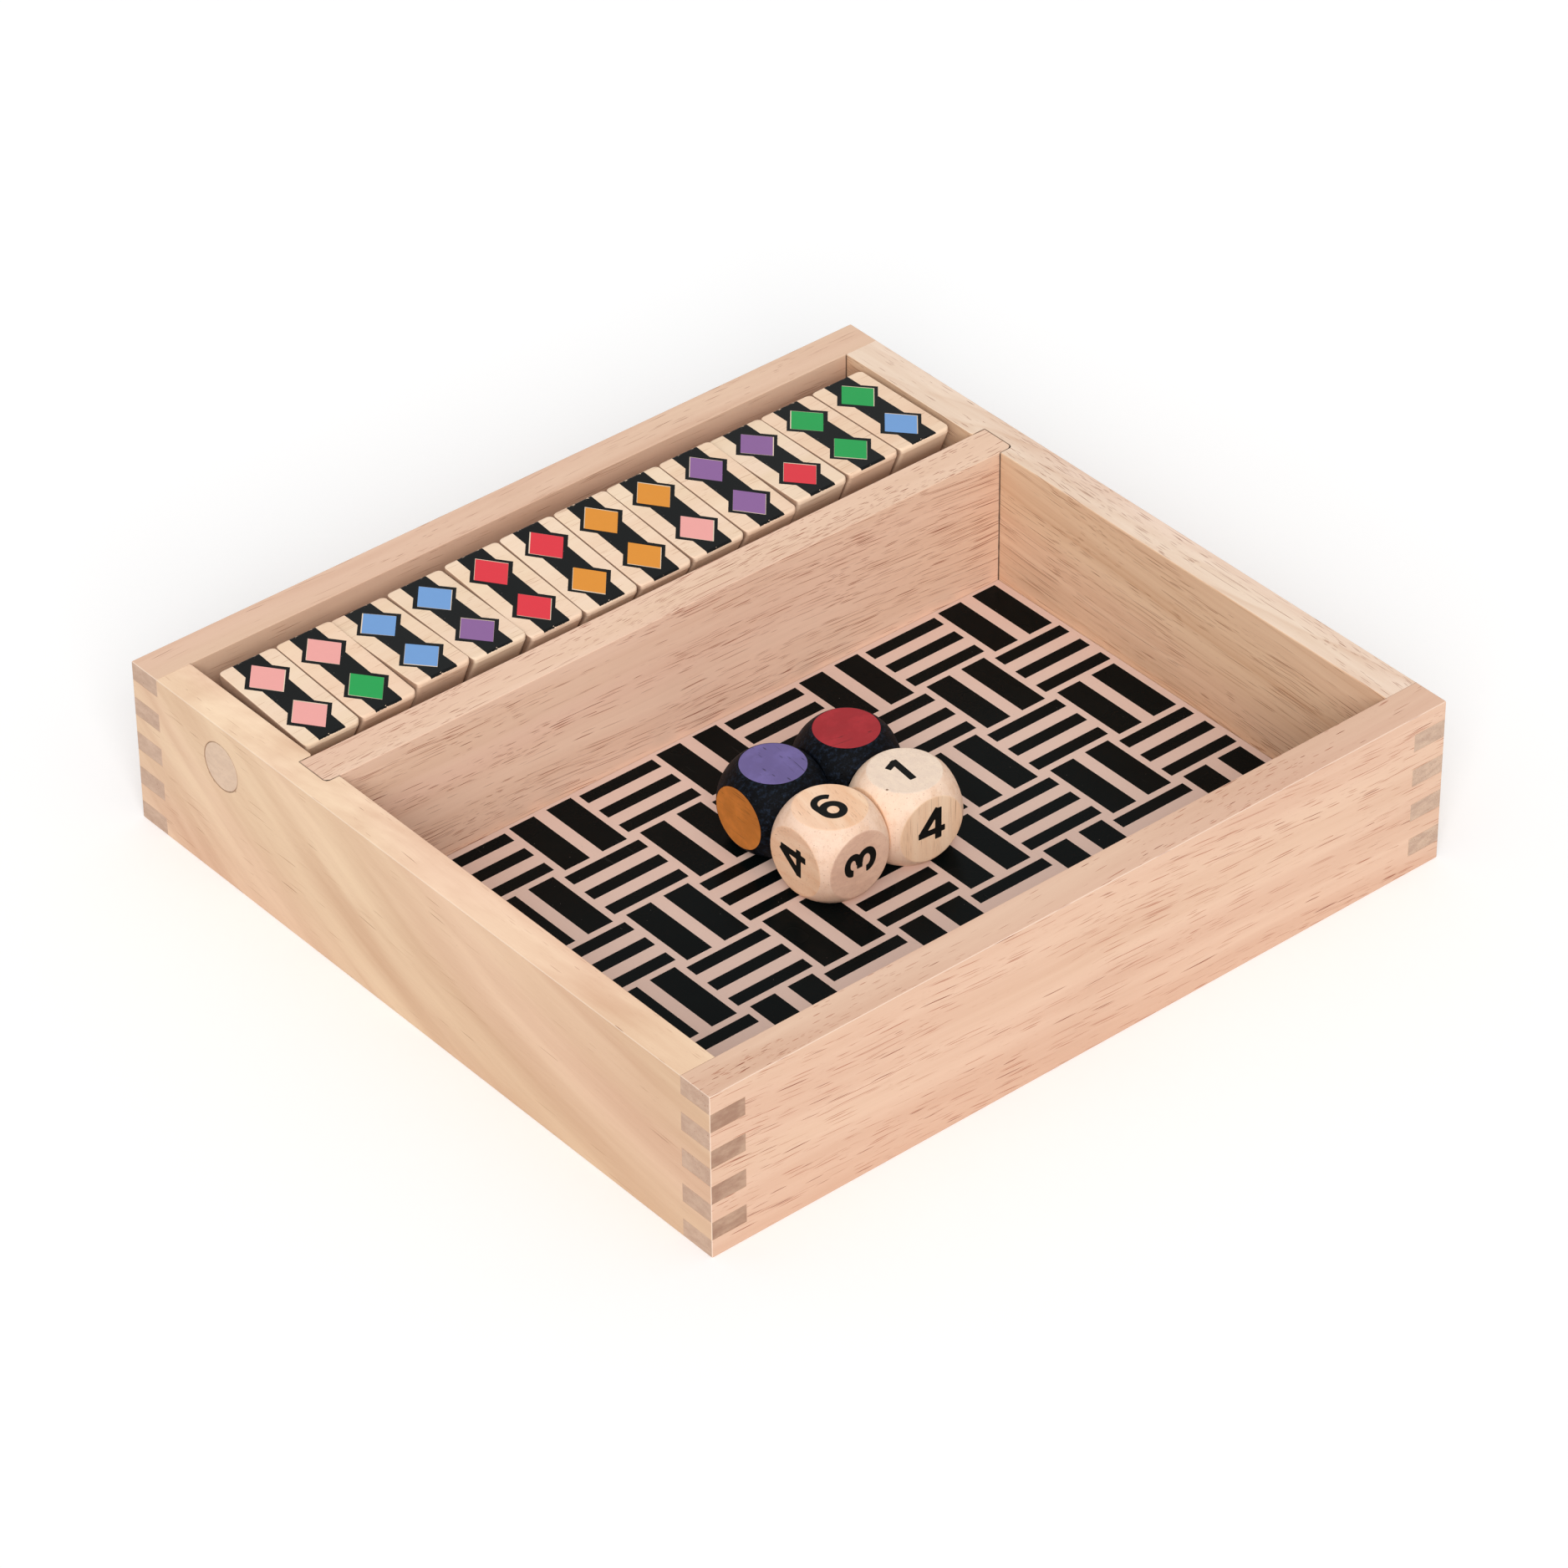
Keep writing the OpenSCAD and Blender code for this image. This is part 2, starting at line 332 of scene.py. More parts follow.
def wood_nodes(t, coord, grain, seed, lean=(0.0, 0.0), end=True, centre=(0, 0, 0), pith=(35.0, -55.0), **look):
    """Adds the wood to a tree. coord is in metres; grain is the axis along
    the fibres; lean turns them a few degrees. Returns colour, height, rough."""
    rot = Matrix.Rotation(math.radians(lean[0]), 3, "Z") @ Matrix.Rotation(math.radians(lean[1]), 3, "Y") @ AXIS[grain]
    off = np.random.default_rng(seed).uniform(-400, 400, 3)
    at = rot @ (Vector(centre) * 1000)
    m = t.put(
        "ShaderNodeMapping",
        {"Vector": coord, "Location": tuple(-at), "Rotation": rot.to_euler("XYZ"), "Scale": (1000, 1000, 1000)},
        vector_type="POINT",
    )
    g = t.put("ShaderNodeGroup")
    g.node_tree = wood_group
    t.set(g.inputs["P"], m.outputs["Vector"])
    g.inputs["Seed"].default_value = tuple(off)
    g.inputs["Pith Y"].default_value = pith[0]
    g.inputs["Pith Z"].default_value = pith[1]
    for k, v in look.items():
        t.set(g.inputs[k.replace("_", " ")], v)
    if end:
        nrm = t.put("ShaderNodeTexCoord").outputs["Normal"]
        axis = {"X": (1, 0, 0), "Y": (0, 1, 0), "Z": (0, 0, 1)}[grain]
        e = t.math("ABSOLUTE", t.vec("DOT_PRODUCT", nrm, axis))
        t.set(g.inputs["End"], t.step(e, 0.72, 0.90))
    return g.outputs["Color"], g.outputs["Height"], g.outputs["Rough"]


def material(name):
    m = bpy.data.materials.new(name)
    m.use_nodes = True
    m.node_tree.nodes.clear()
    t = Tree(m.node_tree)
    out = t.put("ShaderNodeOutputMaterial")
    bsdf = t.put("ShaderNodeBsdfPrincipled")
    t.set(out.inputs["Surface"], bsdf.outputs["BSDF"])
    return m, t, bsdf


def finish_bsdf(t, bsdf, colour, rough, height=None, specular=0.35, coat=None):
    t.set(bsdf.inputs["Base Color"], colour)
    t.set(bsdf.inputs["Roughness"], rough)
    bsdf.inputs["Specular IOR Level"].default_value = specular
    if coat:
        bsdf.inputs["Coat Weight"].default_value = coat[0]
        bsdf.inputs["Coat Roughness"].default_value = coat[1]
    if height is not None:
        b = t.put("ShaderNodeBump", {"Strength": 1.0, "Distance": 0.001, "Height": height})
        t.set(bsdf.inputs["Normal"], b.outputs["Normal"])


def arris_highlight_mask(t, coord):
    """Where the box's outer top edges and upright corners are: the mask for a painted highlight along them."""
    x, y, z = (t.mul(v, 1000) for v in t.split(coord))
    n = [t.math("ABSOLUTE", v) for v in t.split(t.put("ShaderNodeTexCoord").outputs["Normal"])]
    turned = t.step(t.math("MAXIMUM", n[0], t.math("MAXIMUM", n[1], n[2])), 0.80, 0.97, 1.0, 0.0)
    out_x = t.step(t.math("ABSOLUTE", x), 124.2, 124.5)
    out_y = t.step(t.math("ABSOLUTE", y), 118.7, 119.0)
    top = t.mul(t.step(z, 50.5, 50.8), t.math("MAXIMUM", out_x, out_y))
    return t.mul(turned, t.math("MAXIMUM", top, t.mul(out_x, out_y)))


def board_material(name, grain, seed, lean, rough=0.5, rod_seat=False, top_tint=(1, 1, 1), top_lines=1.0, **look):
    m, t, bsdf = material(name)
    coord = t.put("ShaderNodeTexCoord").outputs["Object"]
    # the planed top of a board can show fewer open lines than its sides
    lid = t.step(t.split(t.put("ShaderNodeTexCoord").outputs["Normal"])[2], 0.80, 0.95)
    look["Line_Density"] = t.mixf(lid, look["Line_Density"], look["Line_Density"] * top_lines)
    col, height, dr = wood_nodes(t, coord, grain, seed, lean, **look)
    # handling marks: faint darker smudges, a little glossier
    smudge = t.step(t.noise(t.vec("SCALE", coord, scale=1000), 0.028, 4.0, 0.6), 0.52, 0.78)
    col = t.mix(t.mul(smudge, 0.06), col, srgb(178, 132, 98))
    # the top faces are tinted, lighter and paler than the sides on most boards
    x, y, z = (t.mul(v, 1000) for v in t.split(coord))
    up = t.split(t.put("ShaderNodeTexCoord").outputs["Normal"])[2]
    col = t.mix(t.mul(t.step(up, 0.8, 0.95), t.step(z, 50.9, 51.2)), col, tuple(top_tint) + (1.0,), "MULTIPLY")
    # open joints at the inner corners and at the divider's ends
    ax, ay = t.math("ABSOLUTE", x), t.math("ABSOLUTE", y)
    corner = t.math("MAXIMUM", t.math("ABSOLUTE", t.sub(ax, 113.8)), t.math("ABSOLUTE", t.sub(ay, 108.3)))
    slit = t.math("MAXIMUM", t.math("ABSOLUTE", t.sub(ax, 113.8)), t.math("ABSOLUTE", t.sub(y, 43.3)))
    turn_r = t.mixf(t.math("LESS_THAN", y, 49.0), 0.25, 1.5)
    hx = t.add(t.sub(ax, 118.24), turn_r)
    hy = t.add(t.sub(t.math("ABSOLUTE", t.sub(y, 49.05)), 5.79), turn_r)
    house = t.sub(
        t.add(
            t.math("SQRT", t.add(t.math("POWER", t.math("MAXIMUM", hx, 0.0), 2.0), t.math("POWER", t.math("MAXIMUM", hy, 0.0), 2.0))),
            t.math("MINIMUM", t.math("MAXIMUM", hx, hy), 0.0),
        ),
        turn_r,
    )
    outline = t.math("MAXIMUM", t.sub(t.math("ABSOLUTE", house), 0.10), t.mul(t.math("LESS_THAN", ax, 113.85), 9.0))
    wob = t.mul(t.noise(t.vec("SCALE", coord, scale=1000), 0.4, 2.0), 0.28)
    seam = t.step(t.sub(t.math("MINIMUM", corner, slit), wob), 0.02, 0.22, 1.0, 0.0)
    col = t.mix(t.mul(t.mul(seam, t.step(z, 50.6, 51.25, 1.0, 0.35)), 0.8), col, srgb(70, 46, 36))
    col = t.mix(t.mul(t.step(t.sub(outline, t.mul(wob, 0.3)), 0.0, 0.12, 1.0, 0.0), 0.6), col, srgb(84, 56, 42))
    # painted highlight: a pale line along the outer top edges and upright corners, standing in for light caught on the
    # eased edges
    col = t.mix(t.mul(arris_highlight_mask(t, coord), 0.42), col, srgb(250, 236, 222))
    if rod_seat:
        # the bored hole round the dowel's end has a dark, slightly chipped rim
        dy, dz = t.sub(y, ROD_Y * 1000), t.sub(z, ROD_Z * 1000)
        r = t.math("SQRT", t.add(t.mul(dy, dy), t.mul(dz, dz)))
        chip = t.step(t.noise(t.vec("SCALE", coord, scale=1000), 0.33, 4.0, 0.7), 0.50, 0.72)
        rim = t.step(r, t.add(7.28, t.mul(chip, 0.30)), t.add(7.42, t.mul(chip, 0.55)), 1.0, 0.0)
        col = t.mix(t.mul(rim, 0.75), col, srgb(150, 112, 84))
        height = t.sub(height, t.mul(rim, 0.06))
    r = t.add(t.sub(rough, t.mul(smudge, 0.08)), dr)
    finish_bsdf(t, bsdf, col, r, height, specular=0.3)
    return m


# ---------------------------------------------------------------- boards
HX, HY, HZ = 0.125, 0.1195, 0.0513
IX, IY = HX - 0.0112, HY - 0.0112


def close(a, b, tol=2e-5):
    return abs(a - b) < tol


def soft_edge(a, b):
    """How far an edge of the box's carcase is eased, in millimetres."""
    mid = (a + b) / 2
    on_x, on_y = close(abs(mid.x), HX), close(abs(mid.y), HY)
    top, base = close(mid.z, HZ), close(mid.z, 0)
    if top and IX + 2e-5 < abs(mid.x) < 0.1187 and 0.0547 < mid.y < 0.0559:
        return 0.40 if abs(mid.x) < 0.11479 else 0.0
    if (on_x and on_y) or ((on_x or on_y) and (top or base)):
        return 0.34
    if top and (close(abs(mid.x), IX) and abs(mid.y) < IY):
        return 0.40
    if top and (close(abs(mid.y), IY) and abs(mid.x) < IX):
        return 0.40
    return 0.07


def soft_edge_divider(a, b):
    mid = (a + b) / 2
    if close(mid.z, HZ) and abs(mid.x) < IX + 0.0002:
        return 0.40
    return 0.12


def remade(name, node, rule, segments=3, matrix=None, cuts=()):
    """A copy of a CAD node's mesh with flat faces joined, each edge eased by
    its own amount, and smooth normals. It stands in for the node."""
    src = NODES[node]
    bm = bmesh.new()
    bm.from_mesh(src.data)
    bmesh.ops.remove_doubles(bm, verts=bm.verts, dist=2e-6)
    bmesh.ops.dissolve_limit(bm, angle_limit=math.radians(0.6), verts=bm.verts, edges=bm.edges)
    for co, no in cuts:
        bmesh.ops.bisect_plane(
            bm, geom=list(bm.verts) + list(bm.edges) + list(bm.faces), dist=1e-6, plane_co=co, plane_no=no
        )
    if matrix is not None:
        bmesh.ops.transform(bm, matrix=matrix.inverted(), verts=bm.verts)
    layer = bm.edges.layers.float.new("bevel_weight_edge")
    top = 0.0
    for e in bm.edges:
        if len(e.link_faces) != 2 or e.calc_face_angle(0) < math.radians(28):
            continue
        v = rule(e.verts[0].co, e.verts[1].co)
        e[layer] = v
        top = max(top, v)
    for e in bm.edges:
        e[layer] = e[layer] / top
    me = bpy.data.meshes.new(name)
    bm.to_mesh(me)
    bm.free()
    me.polygons.foreach_set("use_smooth", [True] * len(me.polygons))
    ob = bpy.data.objects.new(name, me)
    scene.collection.objects.link(ob)
    if matrix is not None:
        ob.matrix_world = matrix
    bev = ob.modifiers.new("eased edges", "BEVEL")
    bev.limit_method = "WEIGHT"
    bev.width = top * MM
    bev.segments = segments
    bev.use_clamp_overlap = False
    bev.miter_outer = "MITER_ARC"
    wn = ob.modifiers.new("flat faces", "WEIGHTED_NORMAL")
    wn.weight = 100
    wn.keep_sharp = False
    return ob


cuts_x = [((s * IX, 0, 0), (1, 0, 0)) for s in (-1, 1)]
cuts_y = [((0, s * IY, 0), (0, 1, 0)) for s in (-1, 1)]
BOX = frame["record"]["behaviour"]["bodies"]

LOOKS = {
    "front_wall": dict(
        grain="X", seed=11, lean=(0.0, -3.4), centre=(0, -0.114, 0.026), pith=(-70.0, 26.0), Ring=6.0,
        Light=srgb(225, 192, 167), Dark=srgb(204, 162, 136), Dash=srgb(156, 80, 50), Deep=srgb(122, 60, 38),
        End_Colour=srgb(180, 152, 132), Slope=0.02, Ring_Amount=0.12, Band_Amount=0.42, Streak_Amount=0.22,
        Fibre_Amount=0.12, Dash_Density=0.36, Dash_Amount=0.90, Line_Density=0.12, Deep_Amount=0.90,
        Blush_Amount=0.25, top_tint=(1.11, 1.10, 1.11),
    ),
    "back_wall": dict(
        grain="X", seed=23, lean=(0.0, -1.4), centre=(0, 0.114, 0.026), pith=(60.0, 20.0), Ring=5.0,
        Light=srgb(228, 196, 172), Dark=srgb(208, 168, 142), Dash=srgb(160, 106, 80), Deep=srgb(110, 66, 48),
        End_Colour=srgb(180, 152, 132), Slope=0.02, Ring_Amount=0.16, Band_Amount=0.45, Streak_Amount=0.24,
        Fibre_Amount=0.12, Dash_Density=0.20, Dash_Amount=0.65, Line_Density=0.10, Deep_Amount=0.3,
        top_tint=(1.10, 1.10, 1.10),
    ),
    "left_wall": dict(
        grain="Y", seed=35, lean=(0.0, 3.0), centre=(-0.119, 0, 0.026), pith=(60.0, 40.0), Ring=7.0,
        Light=srgb(224, 194, 165), Dark=srgb(198, 159, 130), Dash=srgb(150, 100, 72), Deep=srgb(100, 64, 46),
        End_Colour=srgb(150, 115, 96), Slope=0.34, Bend=0.0013, Ring_Amount=0.12, Band_Amount=0.64, Across_Scale=0.66,
        Streak_Amount=0.26, Fibre_Amount=0.16, Dash_Density=0.08, Dash_Amount=0.60, Line_Density=0.0, Deep_Amount=0.3,
        Blush_Amount=0.8, top_tint=(1.36, 1.42, 1.50),
    ),
    "right_wall": dict(
        grain="Y", seed=47, lean=(0.0, 2.4), centre=(0.119, 0, 0.026), pith=(34.0, 130.0), Ring=2.1,
        Light=srgb(240, 208, 178), Dark=srgb(214, 171, 137), Dash=srgb(144, 82, 52), Deep=srgb(100, 64, 46),
        End_Colour=srgb(180, 154, 136), Slope=0.03, Ring_Amount=0.44, Band_Amount=0.30, Streak_Amount=0.26,
        Fibre_Amount=0.20, Dash_Density=0.12, Dash_Amount=0.95, Line_Density=0.95, Deep_Amount=0.3,
        top_lines=0.55, top_tint=(1.12, 1.27, 1.50),
    ),
    "divider": dict(
        grain="X", seed=59, lean=(0.0, -2.6), centre=(0, 0.049, 0.03), pith=(20.0, 110.0), Ring=2.3,
        Light=srgb(246, 213, 191), Dark=srgb(226, 186, 160), Dash=srgb(150, 72, 40), Deep=srgb(116, 60, 38),
        End_Colour=srgb(190, 155, 130), Slope=0.03, Ring_Amount=0.30, Band_Amount=0.24, Streak_Amount=0.20,
        Fibre_Amount=0.14, Dash_Density=0.32, Dash_Amount=0.90, Line_Density=0.62, Deep_Amount=0.4,
        top_tint=(1.0, 1.0, 0.98),
    ),
    "bottom_panel": dict(
        grain="X", seed=61, lean=(0.6, 0.0), centre=(0, 0, 0.006), pith=(20.0, -90.0), Ring=9.0,
        Light=srgb(226, 196, 164), Dark=srgb(204, 164, 130), Dash=srgb(150, 108, 80), Deep=srgb(96, 66, 48),
        End_Colour=srgb(186, 152, 128), Slope=0.01, Ring_Amount=0.25, Band_Amount=0.5, Streak_Amount=0.34,
        Fibre_Amount=0.20, Dash_Density=0.25, Dash_Amount=0.5, Line_Density=0.2, Deep_Amount=0.3,
    ),
}
ROD_Y, ROD_Z = 0.0809, 0.0382


def make_boards():
    for node, cuts in (
        ("front_wall", cuts_x), ("back_wall", cuts_x), ("left_wall", cuts_y), ("right_wall", cuts_y),
    ):
        ob = remade(node + "_board", node, soft_edge, cuts=cuts)
        seat = node in ("left_wall", "right_wall")
        ob.data.materials.append(board_material(node + "_wood", rod_seat=seat, **LOOKS[node]))
        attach(ob, "box")
        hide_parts(node)
    ob = remade("divider_board", "divider", soft_edge_divider, cuts=cuts_x)
    ob.data.materials.append(board_material("divider_wood", **LOOKS["divider"]))
    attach(ob, "box")
    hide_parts("divider")
    # the floor panel keeps its CAD mesh
    dress(NODES["bottom_panel"], board_material("floor_panel_wood", rough=0.62, **LOOKS["bottom_panel"]), 0.3)


def dress(node, mat, bevel_mm, segments=2):
    """Gives a carried-over CAD node its material and eased edges."""
    node.data.materials.clear()
    node.data.materials.append(mat)
    weld = node.modifiers.new("weld", "WELD")
    weld.merge_threshold = 2e-6
    b = node.modifiers.new("eased edges", "BEVEL")
    b.limit_method = "ANGLE"
    b.angle_limit = math.radians(40)
    b.width = bevel_mm * MM
    b.segments = segments
    b.use_clamp_overlap = False
    w = node.modifiers.new("flat faces", "WEIGHTED_NORMAL")
    w.weight = 100
    w.keep_sharp = False
    node.data.polygons.foreach_set("use_smooth", [True] * len(node.data.polygons))


# ---------------------------------------------------------------- dowel
def make_rod():
    m, t, bsdf = material("dowel_wood")
    coord = t.put("ShaderNodeTexCoord").outputs["Object"]
    col, height, dr = wood_nodes(
        t, coord, "X", 71, (0.5, 0.3), centre=(0, ROD_Y, ROD_Z), pith=(9.0, 14.0), Ring=2.4,
        Light=srgb(226, 198, 172), Dark=srgb(200, 164, 138), Dash=srgb(156, 116, 92), End_Colour=srgb(206, 180, 158),
        Ring_Amount=0.22, Band_Amount=0.3, Streak_Amount=0.2, Fibre_Amount=0.3, Dash_Density=0.6, Dash_Amount=0.5,
    )
    finish_bsdf(t, bsdf, col, t.add(0.6, dr), height, specular=0.25)
    dress(NODES["tile_rod"], m, 0.18)


# ---------------------------------------------------------------- printed card
def make_liner():
    """Black and pale pink basket weave: blocks of three narrow bars against
    blocks of two broad ones."""
    m, t, bsdf = material("basket_weave_print")
    coord = t.put("ShaderNodeTexCoord").outputs["Object"]
    mm = t.vec("SCALE", coord, scale=1000)
    x, y, z = t.split(mm)
    jit = t.mul(t.sub(t.noise(mm, 2.2, 2.0), 0.5), 0.10)
    B = 25.2
    U = t.math("DIVIDE", t.add(t.add(x, 113.6 + B * 4), jit), B)
    W = t.math("DIVIDE", t.add(t.add(y, 108.1 + B * 4), jit), B)
    par = t.math("MODULO", t.add(t.math("FLOOR", U), t.math("FLOOR", W)), 2.0)
    fu, fw = t.mul(t.math("FRACT", U), B), t.mul(t.math("FRACT", W), B)
    narrow = t.math("ABSOLUTE", t.sub(t.math("MODULO", fw, B / 3), B / 6))
    narrow = t.step(narrow, 2.07, 2.13, 1.0, 0.0)
    broad = t.math("ABSOLUTE", t.sub(t.math("MODULO", fu, B / 2), B / 4))
    broad = t.step(broad, 4.17, 4.23, 1.0, 0.0)
    black = t.mixf(par, narrow, broad)
    # the print keeps clear of the walls by a narrow plain margin
    clear = t.math("MINIMUM", t.sub(111.9, t.math("ABSOLUTE", x)), t.math("MINIMUM", t.add(y, 106.6), t.sub(41.9, y)))
    black = t.mul(black, t.step(t.add(clear, jit), -0.03, 0.03))
    top = t.step(z, 8.70, 8.76)
    # pink ground, with the faintest paper mottling
    n1 = t.noise(mm, 0.035, 3.0, 0.55)
    pink = t.mix(n1, srgb(222, 192, 178), srgb(229, 202, 188))
    pink = t.mix(t.mul(t.noise(mm, 1.4, 3.0, 0.6), 0.10), pink, srgb(190, 158, 146))
    n2 = t.noise(mm, 0.05, 3.0, 0.6)
    ink = t.mix(n2, (0.0014, 0.0024, 0.0026, 1), (0.0040, 0.0060, 0.0060, 1))
    # tiny pale specks and a few hairline scuffs
    sp = t.voronoi(mm, 0.55)
    sr, sg, sb = t.split(sp.outputs["Color"])
    speck = t.mul(t.step(sp.outputs["Distance"], 0.035, 0.06, 1.0, 0.0), t.step(sr, 0.80, 0.82))
    scuff = t.step(t.noise(t.vec("MULTIPLY", mm, (0.35, 0.02, 1.0)), 1.0, 4.0, 0.7), 0.70, 0.74)
    col = t.mix(black, pink, ink)
    col = t.mix(t.mul(speck, 0.55), col, srgb(150, 140, 132))
    col = t.mix(t.mul(scuff, t.mul(black, 0.05)), col, srgb(150, 145, 140))
    col = t.mix(top, srgb(205, 190, 178), col)
    rough = t.add(t.mixf(black, 0.42, 0.27), t.add(t.mul(t.sub(n1, 0.5), 0.12), t.mul(scuff, 0.1)))
    height = t.add(t.mul(t.noise(mm, 0.9, 3.0, 0.6), 0.012), t.mul(black, 0.006))
    finish_bsdf(t, bsdf, col, rough, height, specular=0.045)
    dress(NODES["printed_liner"], m, 0.08)


# ---------------------------------------------------------------- tiles
PINK, GREEN, BLUE = srgb(246, 172, 166), srgb(40, 168, 86), srgb(120, 166, 222)
PURPLE, RED, ORANGE = srgb(146, 104, 160), srgb(230, 60, 72), srgb(230, 150, 56)
# back lozenge, front lozenge
TILE_COLOURS = [
    (PINK, PINK), (PINK, GREEN), (BLUE, BLUE), (BLUE, PURPLE), (RED, RED), (RED, ORANGE),
    (ORANGE, ORANGE), (ORANGE, PINK), (PURPLE, PURPLE), (PURPLE, RED), (GREEN, GREEN), (GREEN, BLUE),
]
TILT = [-4.3, -3.8, 0.4, -1.4, -5, -5.9, -5.8, -4.6, -4.1, -0.3, 0.6, 0.5]
PITCH = 0.01867
TW, TL, TH = 18.42 / 2, 19.25, 13.0
LOZ_Y = 9.2


def tile_print(t, mm, misfit):
    """Masks for a tile's top: black band with two lozenges, colour in each."""
    x, y, z = t.split(mm)
    jit = t.sub(t.noise(mm, 1.6, 3.0, 0.6), 0.5)
    ragged = t.mul(jit, 0.10)
    ax = t.math("ABSOLUTE", x)
    dy = t.math("ABSOLUTE", t.sub(t.math("ABSOLUTE", y), LOZ_Y))

    def loz(a, b, ox=0.0, oy=0.0):
        lx = t.math("ABSOLUTE", t.add(x, ox)) if ox or oy else ax
        ly = t.math("ABSOLUTE", t.add(t.sub(t.math("ABSOLUTE", y), LOZ_Y), oy)) if ox or oy else dy
        n = math.hypot(a, b)
        return t.sub(t.add(t.mul(lx, b / n), t.mul(ly, a / n)), a * b / n)

    band = t.sub(ax, 4.35)
    black = t.add(t.math("MINIMUM", band, loz(7.5, 8.7)), ragged)
    black = t.step(black, -0.03, 0.03, 1.0, 0.0)
    hole = t.step(t.add(loz(5.95, 6.95, *misfit), t.mul(ragged, 0.6)), -0.03, 0.03, 1.0, 0.0)
    colour = t.step(t.add(loz(5.85, 6.85), t.mul(ragged, 0.6)), -0.03, 0.03, 1.0, 0.0)
    # the paint stops at the rounded edge; at the two ends it is chipped here and there
    qx = t.sub(ax, TW - 1.8)
    qy = t.sub(t.math("ABSOLUTE", y), TL - 1.8)
    out = t.math("SQRT", t.add(t.math("POWER", t.math("MAXIMUM", qx, 0.0), 2.0), t.math("POWER", t.math("MAXIMUM", qy, 0.0), 2.0)))
    rim = t.sub(t.add(out, t.math("MINIMUM", t.math("MAXIMUM", qx, qy), 0.0)), 1.8)
    chip = t.step(t.noise(mm, 0.42, 4.0, 0.70), 0.54, 0.72)
    end_face = t.step(t.sub(t.math("ABSOLUTE", y), TL - 1.2), -0.6, 0.2)
    lim = t.sub(t.mul(t.noise(mm, 2.6, 3.0, 0.6), -0.30), t.add(0.02, t.mul(t.mul(chip, end_face), 0.95)))
    inside = t.step(t.sub(rim, lim), -0.05, 0.05, 1.0, 0.0)
    top = t.mul(t.step(z, TH - 0.60, TH - 0.42), inside)
    return t.mul(black, top), t.mul(hole, top), t.mul(colour, top), y


def tile_material(i):
    rng = np.random.default_rng(100 + i)
    m, t, bsdf = material(f"tile_{i:02d}_look")
    coord = t.put("ShaderNodeTexCoord").outputs["Object"]
    mm = t.vec("SCALE", coord, scale=1000)
    warm = rng.uniform(-4, 4)
    col, height, dr = wood_nodes(
        t, coord, "X", 200 + i, (rng.uniform(-4, 4), rng.uniform(-2, 2)), pith=(rng.uniform(-30, 30), -60.0), Ring=4.5,
        Light=srgb(250, 225 + warm * 0.5, 200 + warm), Dark=srgb(236, 203 + warm, 173 + warm),
        Dash=srgb(184, 136, 104), Deep=srgb(120, 84, 60), End_Colour=srgb(214, 184, 156), Ring_Amount=0.18,
        Band_Amount=0.28, Streak_Amount=0.24, Fibre_Amount=0.18, Dash_Density=0.24, Dash_Amount=0.60,
        Line_Density=0.10, Deep_Amount=0.15,
    )
    misfit = tuple(rng.uniform(-0.22, 0.22, 2))
    black, hole, colour, y = tile_print(t, t.vec("ADD", mm, tuple(rng.uniform(-0.25, 0.25, 2)) + (0.0,)), misfit)
    shade = t.noise(mm, 0.22, 3.0, 0.6)
    ink = t.mix(shade, (0.0016, 0.0024, 0.0026, 1), (0.0048, 0.0066, 0.0066, 1))
    # rubbed spots and pale specks in the black
    sp = t.voronoi(mm, 0.85)
    sr, sg, sb = t.split(sp.outputs["Color"])
    speck = t.mul(t.step(sp.outputs["Distance"], 0.04, 0.10, 1.0, 0.0), t.step(sr, 0.86, 0.90))
    scratch = t.step(t.noise(t.vec("MULTIPLY", mm, (1.5, 0.12, 1.0)), 1.0, 4.0, 0.7), 0.66, 0.72)
    ink = t.mix(t.mul(scratch, 0.16), ink, srgb(120, 122, 120))
    ink = t.mix(t.mul(speck, 0.55), ink, srgb(170, 160, 150))
    back, front = TILE_COLOURS[i - 1]
    spot = t.mix(t.step(y, -0.5, 0.5), front, back)
    spot = t.mix(t.mul(t.noise(mm, 0.5, 3.0, 0.6), 0.16), spot, t.mix(0.35, spot, srgb(60, 45, 50)))
    col = t.mix(black, col, ink)
    pale = srgb(238, 216, 190)
    col = t.mix(t.mul(hole, t.sub(1.0, colour)), col, pale)
    col = t.mix(colour, col, spot)
    painted = t.math("MAXIMUM", black, colour)
    # painted shade: the sides and the slopes under the ends are darkened, standing in for the shadow in the narrow
    # gaps between the tiles and against the divider
    _a, _b, z = t.split(mm)
    nx, ny, nz = t.split(t.put("ShaderNodeTexCoord").outputs["Normal"])
    side = t.step(t.math("ABSOLUTE", nx), 0.50, 0.85)
    slope = t.mul(t.step(t.math("ABSOLUTE", ny), 0.30, 0.60), t.step(z, TH - 1.4, TH - 9.0))
    col = t.mix(t.math("MAXIMUM", t.mul(slope, 0.42), t.mul(side, 0.66)), col, srgb(116, 76, 56))
    rough = t.add(t.mixf(painted, t.add(0.55, dr), 0.42), t.mul(t.sub(shade, 0.5), 0.14))
    height = t.add(t.mul(height, t.mixf(painted, 1.0, 0.45)), t.mul(painted, 0.018))
    finish_bsdf(t, bsdf, col, rough, height, specular=0.17)
    return m


